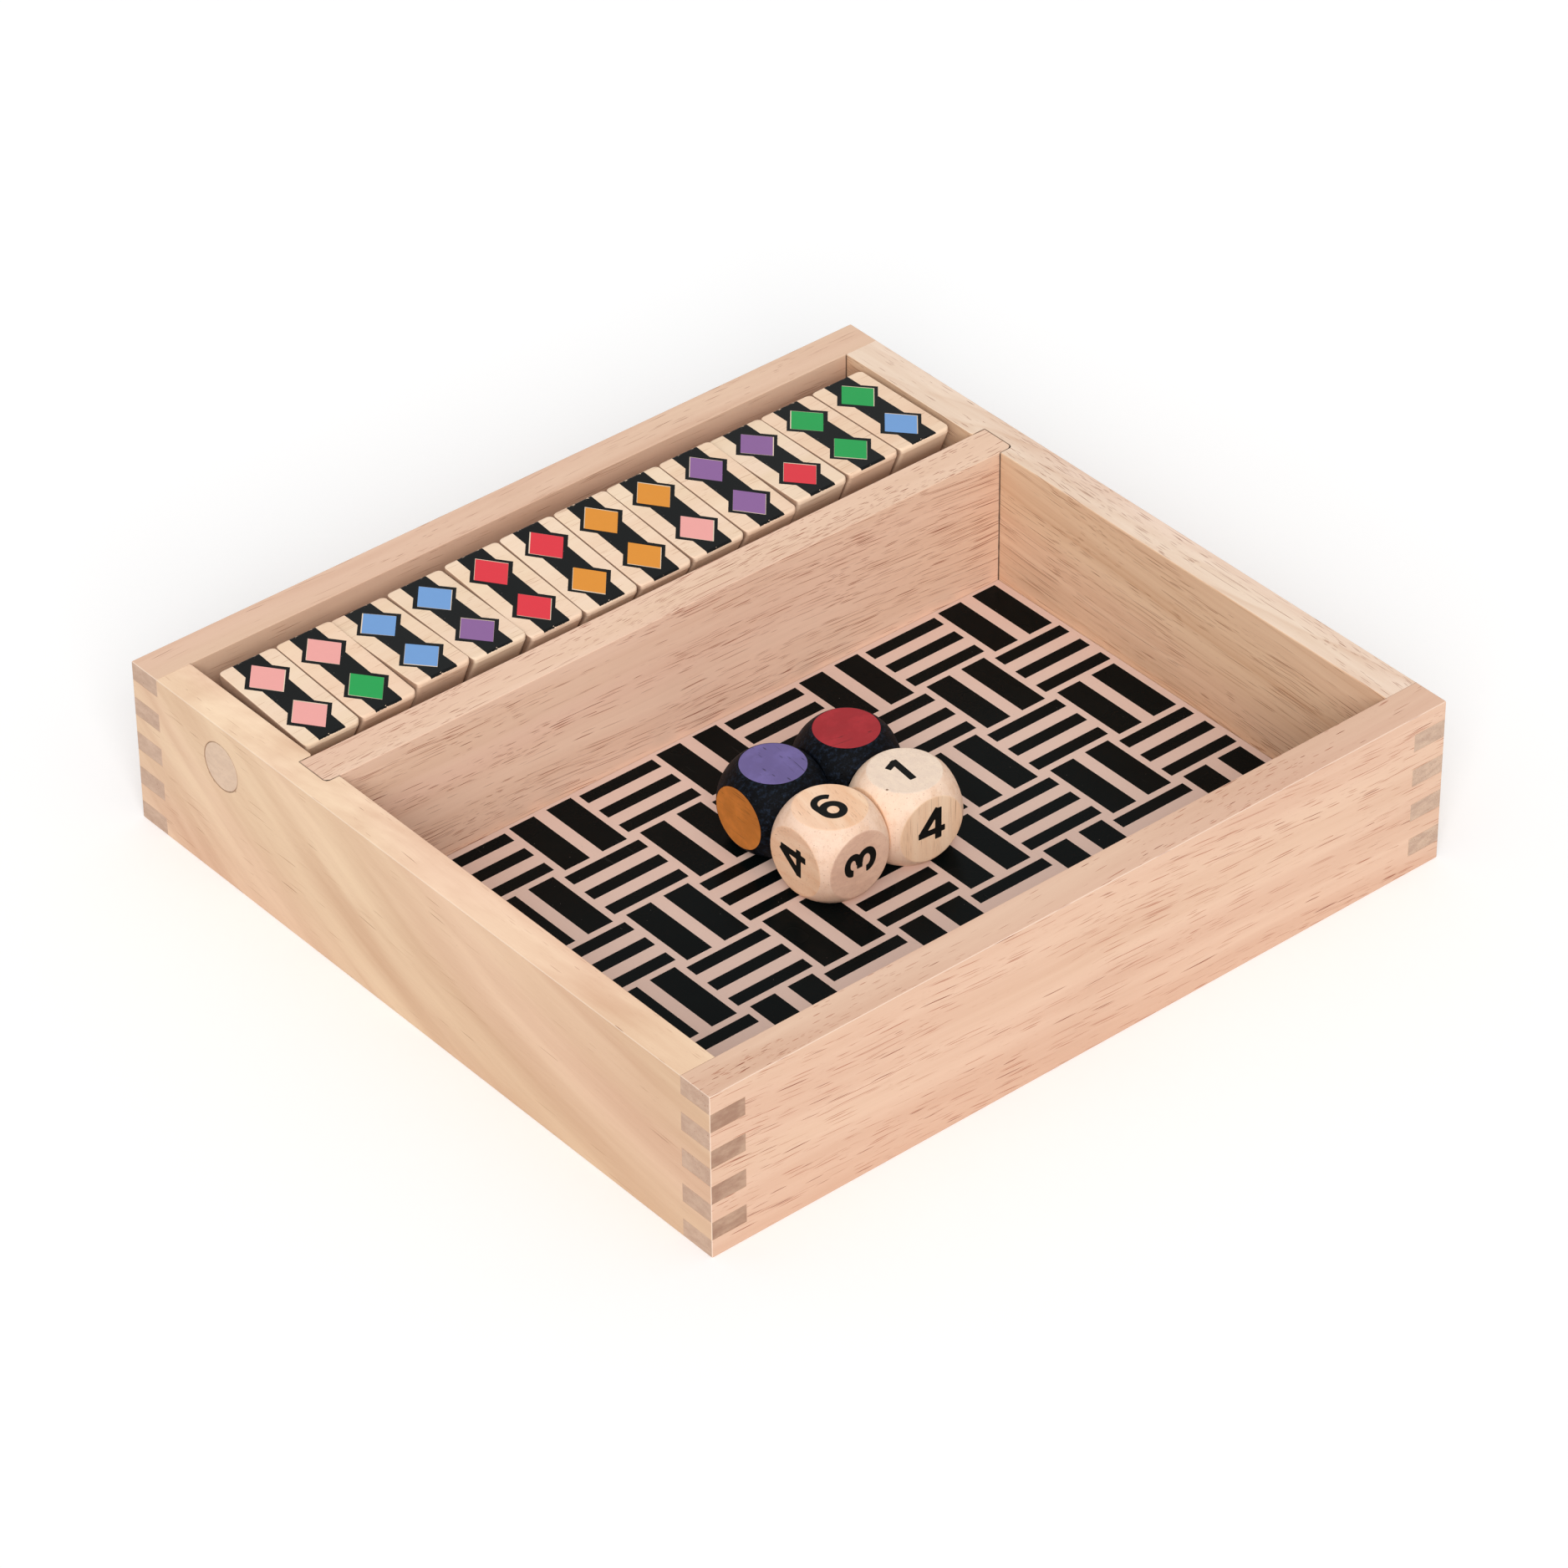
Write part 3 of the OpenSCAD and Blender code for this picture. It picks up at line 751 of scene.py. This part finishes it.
def tile_mesh(name):
    """A block with a flat top, softly rounded arrises and corners, ends that
    slope in below a short upright edge, and the dowel's bore across it."""
    corner, side_r, end_r, base_r, land, base_l = 1.8, 0.42, 0.9, 0.35, 1.5, 9.3
    bore, seg, turn = 7.18, 6, 48

    def drop(r, t):
        return r - math.sqrt(max(0.0, r * r - (r - t) ** 2)) if t < r else 0.0

    def half_length(z):
        k = min(1.0, max(0.0, (TH - land - z) / (2 * TH - land)))
        return TL + (base_l - TL) * k

    levels = [(TH - d, drop(side_r, d), drop(end_r, d)) for d in (0, 0.012, 0.045, 0.1, 0.17, 0.26, 0.34)]
    levels += [(TH - d, 0.0, drop(end_r, d)) for d in (side_r, 0.56, 0.72, 0.9)]
    levels += [(TH - d, 0.0, 0.0) for d in (land - 0.12, land, land + 0.12, 5.0, 10.0, 15.0, 20.0)]
    levels += [(-TH + d, drop(base_r, d), drop(base_r, d)) for d in (base_r, 0.2, 0.09, 0.03, 0)]
    bm = bmesh.new()
    rings = []
    for z, ix, iy in levels:
        length, ring = half_length(z), []
        for q, (sx, sy) in enumerate(((1, 1), (-1, 1), (-1, -1), (1, -1))):
            for k in range(seg + 1):
                a = math.radians(90 * (q + k / seg))
                x = sx * (TW - corner) + (corner - ix) * math.cos(a)
                y = sy * (length - corner) + (corner - iy) * math.sin(a)
                ring.append(bm.verts.new((x * MM, y * MM, z * MM)))
        rings.append(ring)
    n = len(rings[0])
    sides = {n - 1: 1, 2 * seg + 1: -1}
    flat = [k for k, (_z, ix, _iy) in enumerate(levels) if ix == 0.0]
    border = {1: [], -1: []}
    for k in range(len(rings) - 1):
        for j in range(n):
            a, b = rings[k][j], rings[k][(j + 1) % n]
            c, d = rings[k + 1][(j + 1) % n], rings[k + 1][j]
            if j in sides and k in flat and k + 1 in flat:
                border[sides[j]] += [(a, d), (b, c)]
                continue
            bm.faces.new((a, d, c, b))
    bm.faces.new(rings[0])
    bm.faces.new(rings[-1][::-1])
    hole = {}
    for s in (1, -1):
        for depth, r in ((0.0, bore + 0.2), (0.2, bore)):
            hole[s, depth] = [
                bm.verts.new((s * (TW - depth) * MM, r * math.cos(math.tau * k / turn) * MM, r * math.sin(math.tau * k / turn) * MM))
                for k in range(turn)
            ]
    for k in range(turn):
        kk = (k + 1) % turn
        for s in (1, -1):
            bm.faces.new((hole[s, 0.0][k], hole[s, 0.0][kk], hole[s, 0.2][kk], hole[s, 0.2][k]))
        bm.faces.new((hole[1, 0.2][k], hole[1, 0.2][kk], hole[-1, 0.2][kk], hole[-1, 0.2][k]))
    for j, s in sides.items():
        first, last = rings[flat[0]], rings[flat[-1]]
        pairs = border[s] + [(first[j], first[(j + 1) % n]), (last[j], last[(j + 1) % n])]
        pairs += [(hole[s, 0.0][k], hole[s, 0.0][(k + 1) % turn]) for k in range(turn)]
        edges = [bm.edges.get(p) or bm.edges.new(p) for p in pairs]
        bmesh.ops.triangle_fill(bm, use_beauty=True, edges=edges)
    bmesh.ops.recalc_face_normals(bm, faces=bm.faces)
    me = bpy.data.meshes.new(name)
    bm.to_mesh(me)
    bm.free()
    me.polygons.foreach_set("use_smooth", [True] * len(me.polygons))
    return me


def make_tiles():
    for i in range(1, 13):
        node = f"tile_{i:02d}"
        ob = bpy.data.objects.new(f"tile_{i:02d}_block", tile_mesh(f"tile_{i:02d}_block"))
        scene.collection.objects.link(ob)
        ob.matrix_world = Matrix.Translation(((i - 6.5) * PITCH, ROD_Y, ROD_Z)) @ Matrix.Rotation(
            math.radians(-TILT[i - 1]), 4, "X"
        )
        wn = ob.modifiers.new("flat faces", "WEIGHTED_NORMAL")
        wn.weight = 100
        wn.keep_sharp = False
        ob.data.materials.append(tile_material(i))
        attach(ob, node)
        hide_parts(node)


# ---------------------------------------------------------------- dice
DIE_H = 12.0
FACES = {
    "T": Matrix.Identity(3),
    "D": Matrix(((1, 0, 0), (0, -1, 0), (0, 0, -1))),
    "R": Matrix(((0, 0, 1), (0, 1, 0), (-1, 0, 0))),
    "L": Matrix(((0, 0, -1), (0, 1, 0), (1, 0, 0))),
    "B": Matrix(((1, 0, 0), (0, 0, 1), (0, -1, 0))),
    "F": Matrix(((1, 0, 0), (0, 0, -1), (0, 1, 0))),
}


def die_mesh(name, ball, fillet, slots, shy=()):
    """Cube rounded to a ball, with a round flat on each side. slots gives the
    material index of each flat. The rings of the mesh follow the flats' edges.
    On the flats named in shy the paint stops short of the edge."""
    n, rows = 20, 9
    xc = math.sqrt((ball - fillet) ** 2 - (DIE_H - fillet) ** 2)
    bm = bmesh.new()
    edge = [(-1 + 2 * k / n, -1) for k in range(n)] + [(1, -1 + 2 * k / n) for k in range(n)]
    edge += [(1 - 2 * k / n, 1) for k in range(n)] + [(-1, 1 - 2 * k / n) for k in range(n)]
    for face, rot in FACES.items():
        def put(p):
            return bm.verts.new((rot @ Vector(p)) * MM)

        disc = {}
        for a in range(n + 1):
            for b in range(n + 1):
                u, v = -1 + 2 * a / n, -1 + 2 * b / n
                disc[a, b] = put((xc * u * math.sqrt(1 - v * v / 2), xc * v * math.sqrt(1 - u * u / 2), DIE_H))
        for a in range(n):
            for b in range(n):
                f = bm.faces.new((disc[a, b], disc[a + 1, b], disc[a + 1, b + 1], disc[a, b + 1]))
                reach = max(abs(2 * a + 1 - n), abs(2 * b + 1 - n)) / n
                f.material_index = slots.get(face, 0) if reach < (0.82 if face in shy else 2) else 0
        rings = [[disc[round((u + 1) * n / 2), round((v + 1) * n / 2)] for u, v in edge]]
        phi = math.atan2(DIE_H - fillet, xc)
        dirs = []
        for u, v in edge:
            x, y = u * math.sqrt(1 - v * v / 2), v * math.sqrt(1 - u * u / 2)
            dirs.append((x / math.hypot(x, y), y / math.hypot(x, y)))
        for k in range(1, 5):
            a = math.pi / 2 + (phi - math.pi / 2) * k / 4
            r, z = xc + fillet * math.cos(a), DIE_H - fillet + fillet * math.sin(a)
            rings.append([put((r * dx, r * dy, z)) for dx, dy in dirs])
        start = [Vector((r * dx, r * dy, z)) for dx, dy in dirs]
        stop = [
            Vector((math.tan(u * math.pi / 4), math.tan(v * math.pi / 4), 1)).normalized() * ball for u, v in edge
        ]
        for k in range(1, rows + 1):
            rings.append([put(s.slerp(e, k / rows).normalized() * ball) for s, e in zip(start, stop)])
        for ra, rb in zip(rings, rings[1:]):
            for j in range(len(ra)):
                jj = (j + 1) % len(ra)
                bm.faces.new((ra[j], rb[j], rb[jj], ra[jj]))
    bmesh.ops.remove_doubles(bm, verts=bm.verts, dist=2e-6)
    bmesh.ops.recalc_face_normals(bm, faces=bm.faces)
    me = bpy.data.meshes.new(name)
    bm.to_mesh(me)
    bm.free()
    me.polygons.foreach_set("use_smooth", [True] * len(me.polygons))
    return me


# strokes of the numbers, in millimetres, on a body 10 mm high
HALF = 0.80


def bar(x0, y0, x1, y1, w=HALF):
    """A straight stroke with square ends."""
    dx, dy = x1 - x0, y1 - y0
    n = math.hypot(dx, dy)

    def d(x, y):
        s = ((x - x0) * dx + (y - y0) * dy) / n
        p = ((x - x0) * -dy + (y - y0) * dx) / n
        return np.maximum(np.abs(p) - w, np.abs(s - n / 2) - n / 2)

    return d


def arc(cx, cy, rx, ry, a0, a1, w=HALF):
    """Part of an oval stroke, from a0 to a1 degrees counter-clockwise."""

    def d(x, y):
        px, py = (x - cx) / rx, (y - cy) / ry
        k = np.hypot(px, py) + 1e-9
        ring = np.abs((k - 1) * k / (np.hypot(px / rx, py / ry) + 1e-9)) - w
        if a1 - a0 >= 360:
            return ring
        mid, half = (a0 + a1) / 2, (a1 - a0) / 2
        da = (np.degrees(np.arctan2(py, px)) - mid + 180) % 360 - 180
        return np.maximum(ring, np.radians(np.abs(da) - half) * k * min(rx, ry))

    return d


GLYPHS = {
    "1": [bar(0, -4.6, 0, 4.6), bar(-3.05, 2.45, 0.25, 4.20, 0.68)],
    "2": [arc(0.1, 2.15, 2.75, 2.5, -30, 170), bar(2.1, 1.35, -2.5, -3.9), bar(-3.3, -3.95, 3.3, -3.95)],
    "3": [
        arc(0.15, 2.40, 2.55, 1.95, -90, 176), arc(0.10, -2.15, 2.85, 2.28, -178, 90), bar(-1.35, 0.20, 0.3, 0.20, 0.72),
    ],
    "4": [bar(2.2, -4.6, 2.2, 4.85), bar(-4.0, -2.05, 4.15, -2.05, 0.70), bar(-3.25, -1.93, 2.0, 4.82, 0.86)],
    "5": [bar(-2.3, 4.1, 2.8, 4.1), bar(-2.25, 4.8, -2.35, 0.0), arc(0.05, -1.65, 2.8, 2.5, -160, 138)],
    "6": [
        arc(-0.05, -1.70, 2.70, 2.70, 0, 360, 0.85), arc(0.10, 1.40, 3.15, 3.15, 40, 182, 0.70),
        bar(-3.05, 1.45, -2.95, -1.9, 0.72),
    ],
}


def soften(field, cells):
    """Blurs a grid of distances, which rounds the corners of the ink."""
    k = np.arange(-int(3 * cells) - 1, int(3 * cells) + 2)
    w = np.exp(-0.5 * (k / cells) ** 2)
    w /= w.sum()
    for axis in (0, 1):
        field = np.apply_along_axis(lambda row: np.convolve(row, w, mode="same"), axis, field)
    return field


def glyph_cells(parts, step=0.09, span=6.2):
    """The outline of a number as small clipped cells of a fine grid."""
    k = int(round(2 * span / step)) + 1
    g = np.linspace(-span, span, k)
    X, Y = np.meshgrid(g, g, indexing="ij")
    D = np.clip(np.min([p(X, Y) for p in parts], axis=0), -1.2, 1.2)
    D = soften(D, 0.12 / step) - 0.24
    polys = []
    corner = ((0, 0), (1, 0), (1, 1), (0, 1))
    for i, j in zip(*np.nonzero((np.minimum(np.minimum(D[:-1, :-1], D[1:, :-1]), np.minimum(D[:-1, 1:], D[1:, 1:]))) < 0)):
        pts = []
        for c in range(4):
            a, b = corner[c], corner[(c + 1) % 4]
            ia, ja, ib, jb = i + a[0], j + a[1], i + b[0], j + b[1]
            da, db = D[ia, ja], D[ib, jb]
            if da < 0:
                pts.append((g[ia], g[ja]))
            if (da < 0) != (db < 0):
                s = da / (da - db)
                pts.append((g[ia] + s * (g[ib] - g[ia]), g[ja] + s * (g[jb] - g[ja])))
        if len(pts) > 2:
            polys.append(pts)
    return polys


# how a number sits on a flat: right and up directions in the die's own frame
def glyph_frame(face, turn):
    base = {
        "T": ((1, 0, 0), (0, 1, 0)), "D": ((1, 0, 0), (0, -1, 0)), "F": ((1, 0, 0), (0, 0, 1)),
        "B": ((-1, 0, 0), (0, 0, 1)), "L": ((0, -1, 0), (0, 0, 1)), "R": ((0, 1, 0), (0, 0, 1)),
    }[face]
    r, u = Vector(base[0]), Vector(base[1])
    n = r.cross(u)
    q = Matrix.Rotation(math.radians(turn), 3, n)
    return q @ r, q @ u, n


def number_mesh(name, marks):
    """All six printed numbers of one die, as thin slabs of ink on its flats."""
    bm = bmesh.new()
    for face, (digit, turn, ox, oy) in marks.items():
        r, u, n = glyph_frame(face, turn)
        part = bmesh.new()
        for poly in glyph_cells(GLYPHS[digit]):
            vs = [part.verts.new((r * (x + ox) + u * (y + oy) + n * (DIE_H + 0.02)) * MM) for x, y in poly]
            part.faces.new(vs)
        bmesh.ops.remove_doubles(part, verts=part.verts, dist=4e-6)
        bmesh.ops.dissolve_limit(part, angle_limit=math.radians(1.2), verts=part.verts, edges=part.edges)
        bmesh.ops.triangulate(part, faces=part.faces)
        res = bmesh.ops.extrude_face_region(part, geom=list(part.faces))
        new = [v for v in res["geom"] if isinstance(v, bmesh.types.BMVert)]
        old = [v for v in part.verts if v not in set(new)]
        bmesh.ops.translate(part, verts=old, vec=-n * 0.05 * MM)
        bmesh.ops.recalc_face_normals(part, faces=part.faces)
        tmp = bpy.data.meshes.new("tmp")
        part.to_mesh(tmp)
        part.free()
        bm.from_mesh(tmp)
        bpy.data.meshes.remove(tmp)
    me = bpy.data.meshes.new(name)
    bm.to_mesh(me)
    bm.free()
    return me


def ink_material():
    m, t, bsdf = material("number_ink")
    mm = t.vec("SCALE", t.put("ShaderNodeTexCoord").outputs["Object"], scale=1000)
    n = t.noise(mm, 0.9, 3.0, 0.6)
    col = t.mix(n, (0.0030, 0.0034, 0.0034, 1), (0.0110, 0.0115, 0.0105, 1))
    wear = t.step(t.noise(mm, 2.4, 3.0, 0.65), 0.66, 0.74)
    col = t.mix(t.mul(wear, 0.12), col, srgb(120, 100, 80))
    finish_bsdf(t, bsdf, col, t.add(0.46, t.mul(n, 0.2)), t.mul(n, 0.01), specular=0.08)
    return m


def number_die_material(name, grain, seed, lean, warm=0.0, spot=None, **look):
    m, t, bsdf = material(name)
    coord = t.put("ShaderNodeTexCoord").outputs["Object"]
    mm = t.vec("SCALE", coord, scale=1000)
    base = dict(
        Light=srgb(240, 214 + warm, 186 + warm), Dark=srgb(220, 184 + warm, 152 + warm), Dash=srgb(166, 118, 88),
        Deep=srgb(110, 74, 52), End_Colour=srgb(204, 172, 150), Ring=3.4, pith=(14.0, -26.0), Ring_Amount=0.30,
        Band_Amount=0.40, Streak_Amount=0.40, Fibre_Amount=0.24, Dash_Density=0.26, Dash_Amount=0.5,
        Line_Density=0.30, Deep_Amount=0.2,
    )
    base.update(look)
    col, height, dr = wood_nodes(t, coord, grain, seed, lean, **base)
    # the flats are planed and show their figure; the turned-off corners are
    # paler, more open and speckled
    ax = [t.math("ABSOLUTE", s) for s in t.split(mm)]
    flat = t.step(t.math("MAXIMUM", ax[0], t.math("MAXIMUM", ax[1], ax[2])), DIE_H - 0.20, DIE_H - 0.04)
    round_ = t.sub(1.0, flat)
    col = t.mix(t.mul(round_, 0.55), col, srgb(247, 222, 204))
    n = t.noise(mm, 0.28, 3.0, 0.6)
    col = t.mix(t.mul(round_, t.mul(t.step(n, 0.50, 0.70), 0.40)), col, srgb(226, 184, 148))
    grit = t.noise(mm, 1.5, 5.0, 0.75)
    col = t.mix(t.mul(t.add(t.mul(round_, 0.6), 0.4), t.mul(t.step(grit, 0.54, 0.72), 0.36)), col, srgb(192, 138, 106))
    sp = t.voronoi(mm, 1.15)
    r, g, b = t.split(sp.outputs["Color"])
    dot = t.mul(t.step(sp.outputs["Distance"], 0.10, 0.24, 1.0, 0.0), t.math("LESS_THAN", r, 0.34))
    col = t.mix(t.mul(dot, t.add(t.mul(round_, 0.30), 0.18)), col, srgb(176, 118, 86))
    height = t.add(height, t.mul(t.mul(round_, grit), 0.03))
    if spot:
        # one small brown knot on the edge of a flat
        d = t.vec("DISTANCE", mm, spot)
        knot = t.step(t.add(d, t.mul(grit, 0.25)), 0.35, 0.62, 1.0, 0.0)
        col = t.mix(t.mul(knot, 0.85), col, srgb(116, 80, 54))
    finish_bsdf(t, bsdf, col, t.add(0.55, dr), height, specular=0.3)
    return m


def black_die_material():
    m, t, bsdf = material("black_dyed_wood")
    coord = t.put("ShaderNodeTexCoord").outputs["Object"]
    mm = t.vec("SCALE", coord, scale=1000)
    n = t.noise(mm, 0.35, 3.0, 0.6)
    fine = t.noise(mm, 2.2, 4.0, 0.7)
    grit = t.noise(mm, 5.5, 3.0, 0.65)
    # open pores of the wood under the dye, as dents
    vo = t.voronoi(t.vec("MULTIPLY", mm, (1.1, 0.5, 1.1)), 1.0)
    r, g, b = t.split(vo.outputs["Color"])
    pit = t.mul(t.step(vo.outputs["Distance"], 0.08, 0.20, 1.0, 0.0), t.math("LESS_THAN", r, 0.35))
    # painted sheen: bluish patches and pale blue specks in the base colour stand in for the glossy bluish highlights
    # on the black wood
    sheen_patch = t.step(t.noise(t.vec("MULTIPLY", mm, (0.55, 0.9, 0.9)), 1.0, 4.0, 0.7), 0.46, 0.66)
    col = t.mix(n, (0.0008, 0.0010, 0.0016, 1), (0.0020, 0.0027, 0.0046, 1))
    col = t.mix(t.mul(sheen_patch, 0.85), col, (0.0095, 0.0165, 0.0310, 1))
    col = t.mix(t.mul(t.step(fine, 0.58, 0.74), t.add(0.25, t.mul(sheen_patch, 0.55))), col, (0.052, 0.080, 0.130, 1))
    col = t.mix(t.mul(pit, 0.95), col, (0.0003, 0.0003, 0.0005, 1))
    height = t.add(t.mul(fine, 0.13), t.sub(t.mul(grit, 0.04), t.mul(pit, 0.12)))
    finish_bsdf(t, bsdf, col, t.add(0.46, t.mul(fine, 0.24)), height, specular=0.09)
    return m


def flat_paint(name, colour, grain, pores=0.06):
    m, t, bsdf = material(name)
    coord = t.put("ShaderNodeTexCoord").outputs["Object"]
    mm = t.vec("SCALE", coord, scale=1000)
    col, height, dr = wood_nodes(
        t, coord, grain, 900, (3.0, 0.0), end=False, Light=colour, Dark=tuple(c * 0.84 for c in colour[:3]) + (1.0,),
        Dash=tuple(c * 0.30 for c in colour[:3]) + (1.0,), Deep=tuple(c * 0.12 for c in colour[:3]) + (1.0,),
        Ring=3.0, pith=(10.0, -30.0), Ring_Amount=0.16, Band_Amount=0.4, Streak_Amount=0.2, Fibre_Amount=0.2,
        Dash_Density=0.42, Dash_Amount=0.8, Deep_Amount=0.6,
    )
    n = t.noise(mm, 0.4, 3.0, 0.6)
    along = (0.85, 0.26, 0.85) if grain == "Y" else (0.26, 0.85, 0.85)
    pv = t.voronoi(t.vec("MULTIPLY", mm, along), 1.0)
    pr, pg, pb = t.split(pv.outputs["Color"])
    open_pore = t.mul(t.step(pv.outputs["Distance"], 0.12, 0.26, 1.0, 0.0), t.math("LESS_THAN", pr, pores))
    col = t.mix(t.mul(open_pore, 0.75), col, tuple(c * 0.22 for c in colour[:3]) + (1.0,))
    height = t.sub(height, t.mul(open_pore, 0.03))
    cloud = t.step(t.noise(mm, 0.22, 4.0, 0.6), 0.42, 0.70)
    col = t.mix(t.mul(cloud, 0.45), col, tuple(min(1.0, c * 1.35 + 0.004) for c in colour[:3]) + (1.0,))
    finish_bsdf(t, bsdf, col, t.add(0.44, t.mul(n, 0.2)), height, specular=0.28)
    return m


# centre, turn and the radius of the ball, as in the CAD
DICE = {
    "number_die_a": ((-10.95, -30.65), 0.0, 15.6),
    "number_die_b": ((14.25, -31.3), -4.7, 15.6),
    "colour_die_a": ((-10.0, -6.55), 0.0, 15.15),
    "colour_die_b": ((14.9, -7.1), -4.7, 15.15),
}


def make_dice():
    ink = ink_material()
    marks = {
        "number_die_a": {
            "T": ("6", 0.0, -0.05, 0.2), "L": ("4", 90.0, 0.1, 0.6), "F": ("3", 90.0, 0.6, -0.15),
            "R": ("2", 0.0, 0, 0), "B": ("5", 0.0, 0, 0), "D": ("1", 0.0, 0, 0),
        },
        "number_die_b": {
            "T": ("1", -1.5, -0.15, 0.45), "F": ("4", 0.0, 0.05, 1.0), "L": ("2", 90.0, 0, 0),
            "R": ("5", 0.0, 0, 0), "B": ("3", 180.0, 0, 0), "D": ("6", 0.0, 0, 0),
        },
    }
    looks = {
        "number_die_a": number_die_material(
            "die_wood_along_y", "Y", 301, (14.0, -6.0), Light=srgb(255, 222, 193), Dark=srgb(237, 185, 144),
            End_Colour=srgb(229, 190, 168), Band_Amount=0.55,
        ),
        "number_die_b": number_die_material(
            "die_wood_upright", "Z", 302, (1.0, 2.0), warm=2.0, spot=(-8.7, -4.2, 12.0),
            Light=srgb(255, 230, 200), Dark=srgb(237, 195, 157), End_Colour=srgb(242, 222, 204),
        ),
    }
    for name in ("number_die_a", "number_die_b"):
        (x, y), turn, ball = DICE[name]
        pose = Matrix.Translation((x * MM, y * MM, (8.8 + DIE_H) * MM)) @ Matrix.Rotation(math.radians(turn), 4, "Z")
        ob = bpy.data.objects.new(name + "_body", die_mesh(name + "_body", ball, 0.7, {}))
        scene.collection.objects.link(ob)
        ob.matrix_world = pose
        ob.data.materials.append(looks[name])
        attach(ob, name)
        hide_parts(name)
        num = bpy.data.objects.new(name + "_numbers", number_mesh(name + "_numbers", marks[name]))
        scene.collection.objects.link(num)
        num.matrix_world = pose
        num.data.materials.append(ink)
        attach(num, name)
    black = black_die_material()
    c = {
        "purple": flat_paint("die_purple", srgb(110, 98, 154), "Y", 0.30),
        "orange": flat_paint("die_orange", srgb(204, 126, 52), "Y"),
        "crimson": flat_paint("die_crimson", srgb(166, 38, 46), "X"),
        "green": flat_paint("die_green", srgb(44, 150, 84), "X"),
        "blue": flat_paint("die_blue", srgb(96, 138, 190), "Y"),
        "rose": flat_paint("die_rose", srgb(222, 150, 146), "X"),
    }
    order = ["purple", "orange", "crimson", "green", "blue", "rose"]
    flats = {
        "colour_die_a": dict(T="purple", L="orange", F="green", R="blue", B="rose", D="crimson"),
        "colour_die_b": dict(T="crimson", L="blue", F="purple", R="green", B="orange", D="rose"),
    }
    for name, by_face in flats.items():
        (x, y), turn, ball = DICE[name]
        pose = Matrix.Translation((x * MM, y * MM, (8.8 + DIE_H) * MM)) @ Matrix.Rotation(math.radians(turn), 4, "Z")
        slots = {f: 1 + order.index(k) for f, k in by_face.items()}
        ob = bpy.data.objects.new(name + "_body", die_mesh(name + "_body", ball, 0.45, slots, "LF" if name.endswith("b") else ""))
        scene.collection.objects.link(ob)
        ob.matrix_world = pose
        ob.data.materials.append(black)
        for k in order:
            ob.data.materials.append(c[k])
        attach(ob, name)
        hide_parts(name)


# ---------------------------------------------------------------- stage
def make_stage():
    m, t, bsdf = material("studio_floor")
    mm = t.vec("SCALE", t.put("ShaderNodeTexCoord").outputs["Object"], scale=10)
    n = t.noise(mm, 0.5, 2.0)
    finish_bsdf(t, bsdf, t.mix(n, (0.93, 0.93, 0.93, 1), (0.95, 0.95, 0.95, 1)), 0.7, specular=0.1)
    # lit a little more towards the back, so the sweep stays evenly pale
    far = t.vec("DOT_PRODUCT", t.put("ShaderNodeTexCoord").outputs["Object"], (0.62, 0.78, 0.0))
    bsdf.inputs["Emission Color"].default_value = (1.0, 1.0, 1.0, 1.0)
    t.set(bsdf.inputs["Emission Strength"], t.line(far, -0.3, 1.5, 0.07, 0.30))
    me = bpy.data.meshes.new("studio_floor")
    s = 12.0
    me.from_pydata([(-s, -s, 0), (s, -s, 0), (s, s, 0), (-s, s, 0)], [], [(0, 1, 2, 3)])
    floor = bpy.data.objects.new("studio_floor", me)
    floor.data.materials.append(m)
    scene.collection.objects.link(floor)

    world = bpy.data.worlds.new("studio")
    scene.world = world
    world.use_nodes = True
    bg = world.node_tree.nodes["Background"]
    bg.inputs["Color"].default_value = (1.0, 1.0, 1.0, 1.0)
    bg.inputs["Strength"].default_value = 0.66

    def area(name, loc, target, size, power, colour=(1, 1, 1)):
        d = bpy.data.lights.new(name, "AREA")
        d.shape = "SQUARE"
        d.size = size
        d.energy = power
        d.color = colour
        ob = bpy.data.objects.new(name, d)
        scene.collection.objects.link(ob)
        ob.location = loc
        ob.rotation_euler = (Vector(target) - Vector(loc)).to_track_quat("-Z", "Y").to_euler()

    area("key", (-2.68, -3.35, 2.80), (0, 0, 0), 2.8, 163.0)


make_stage()
make_boards()
make_rod()
make_liner()
make_tiles()
make_dice()

bpy.context.view_layer.update()
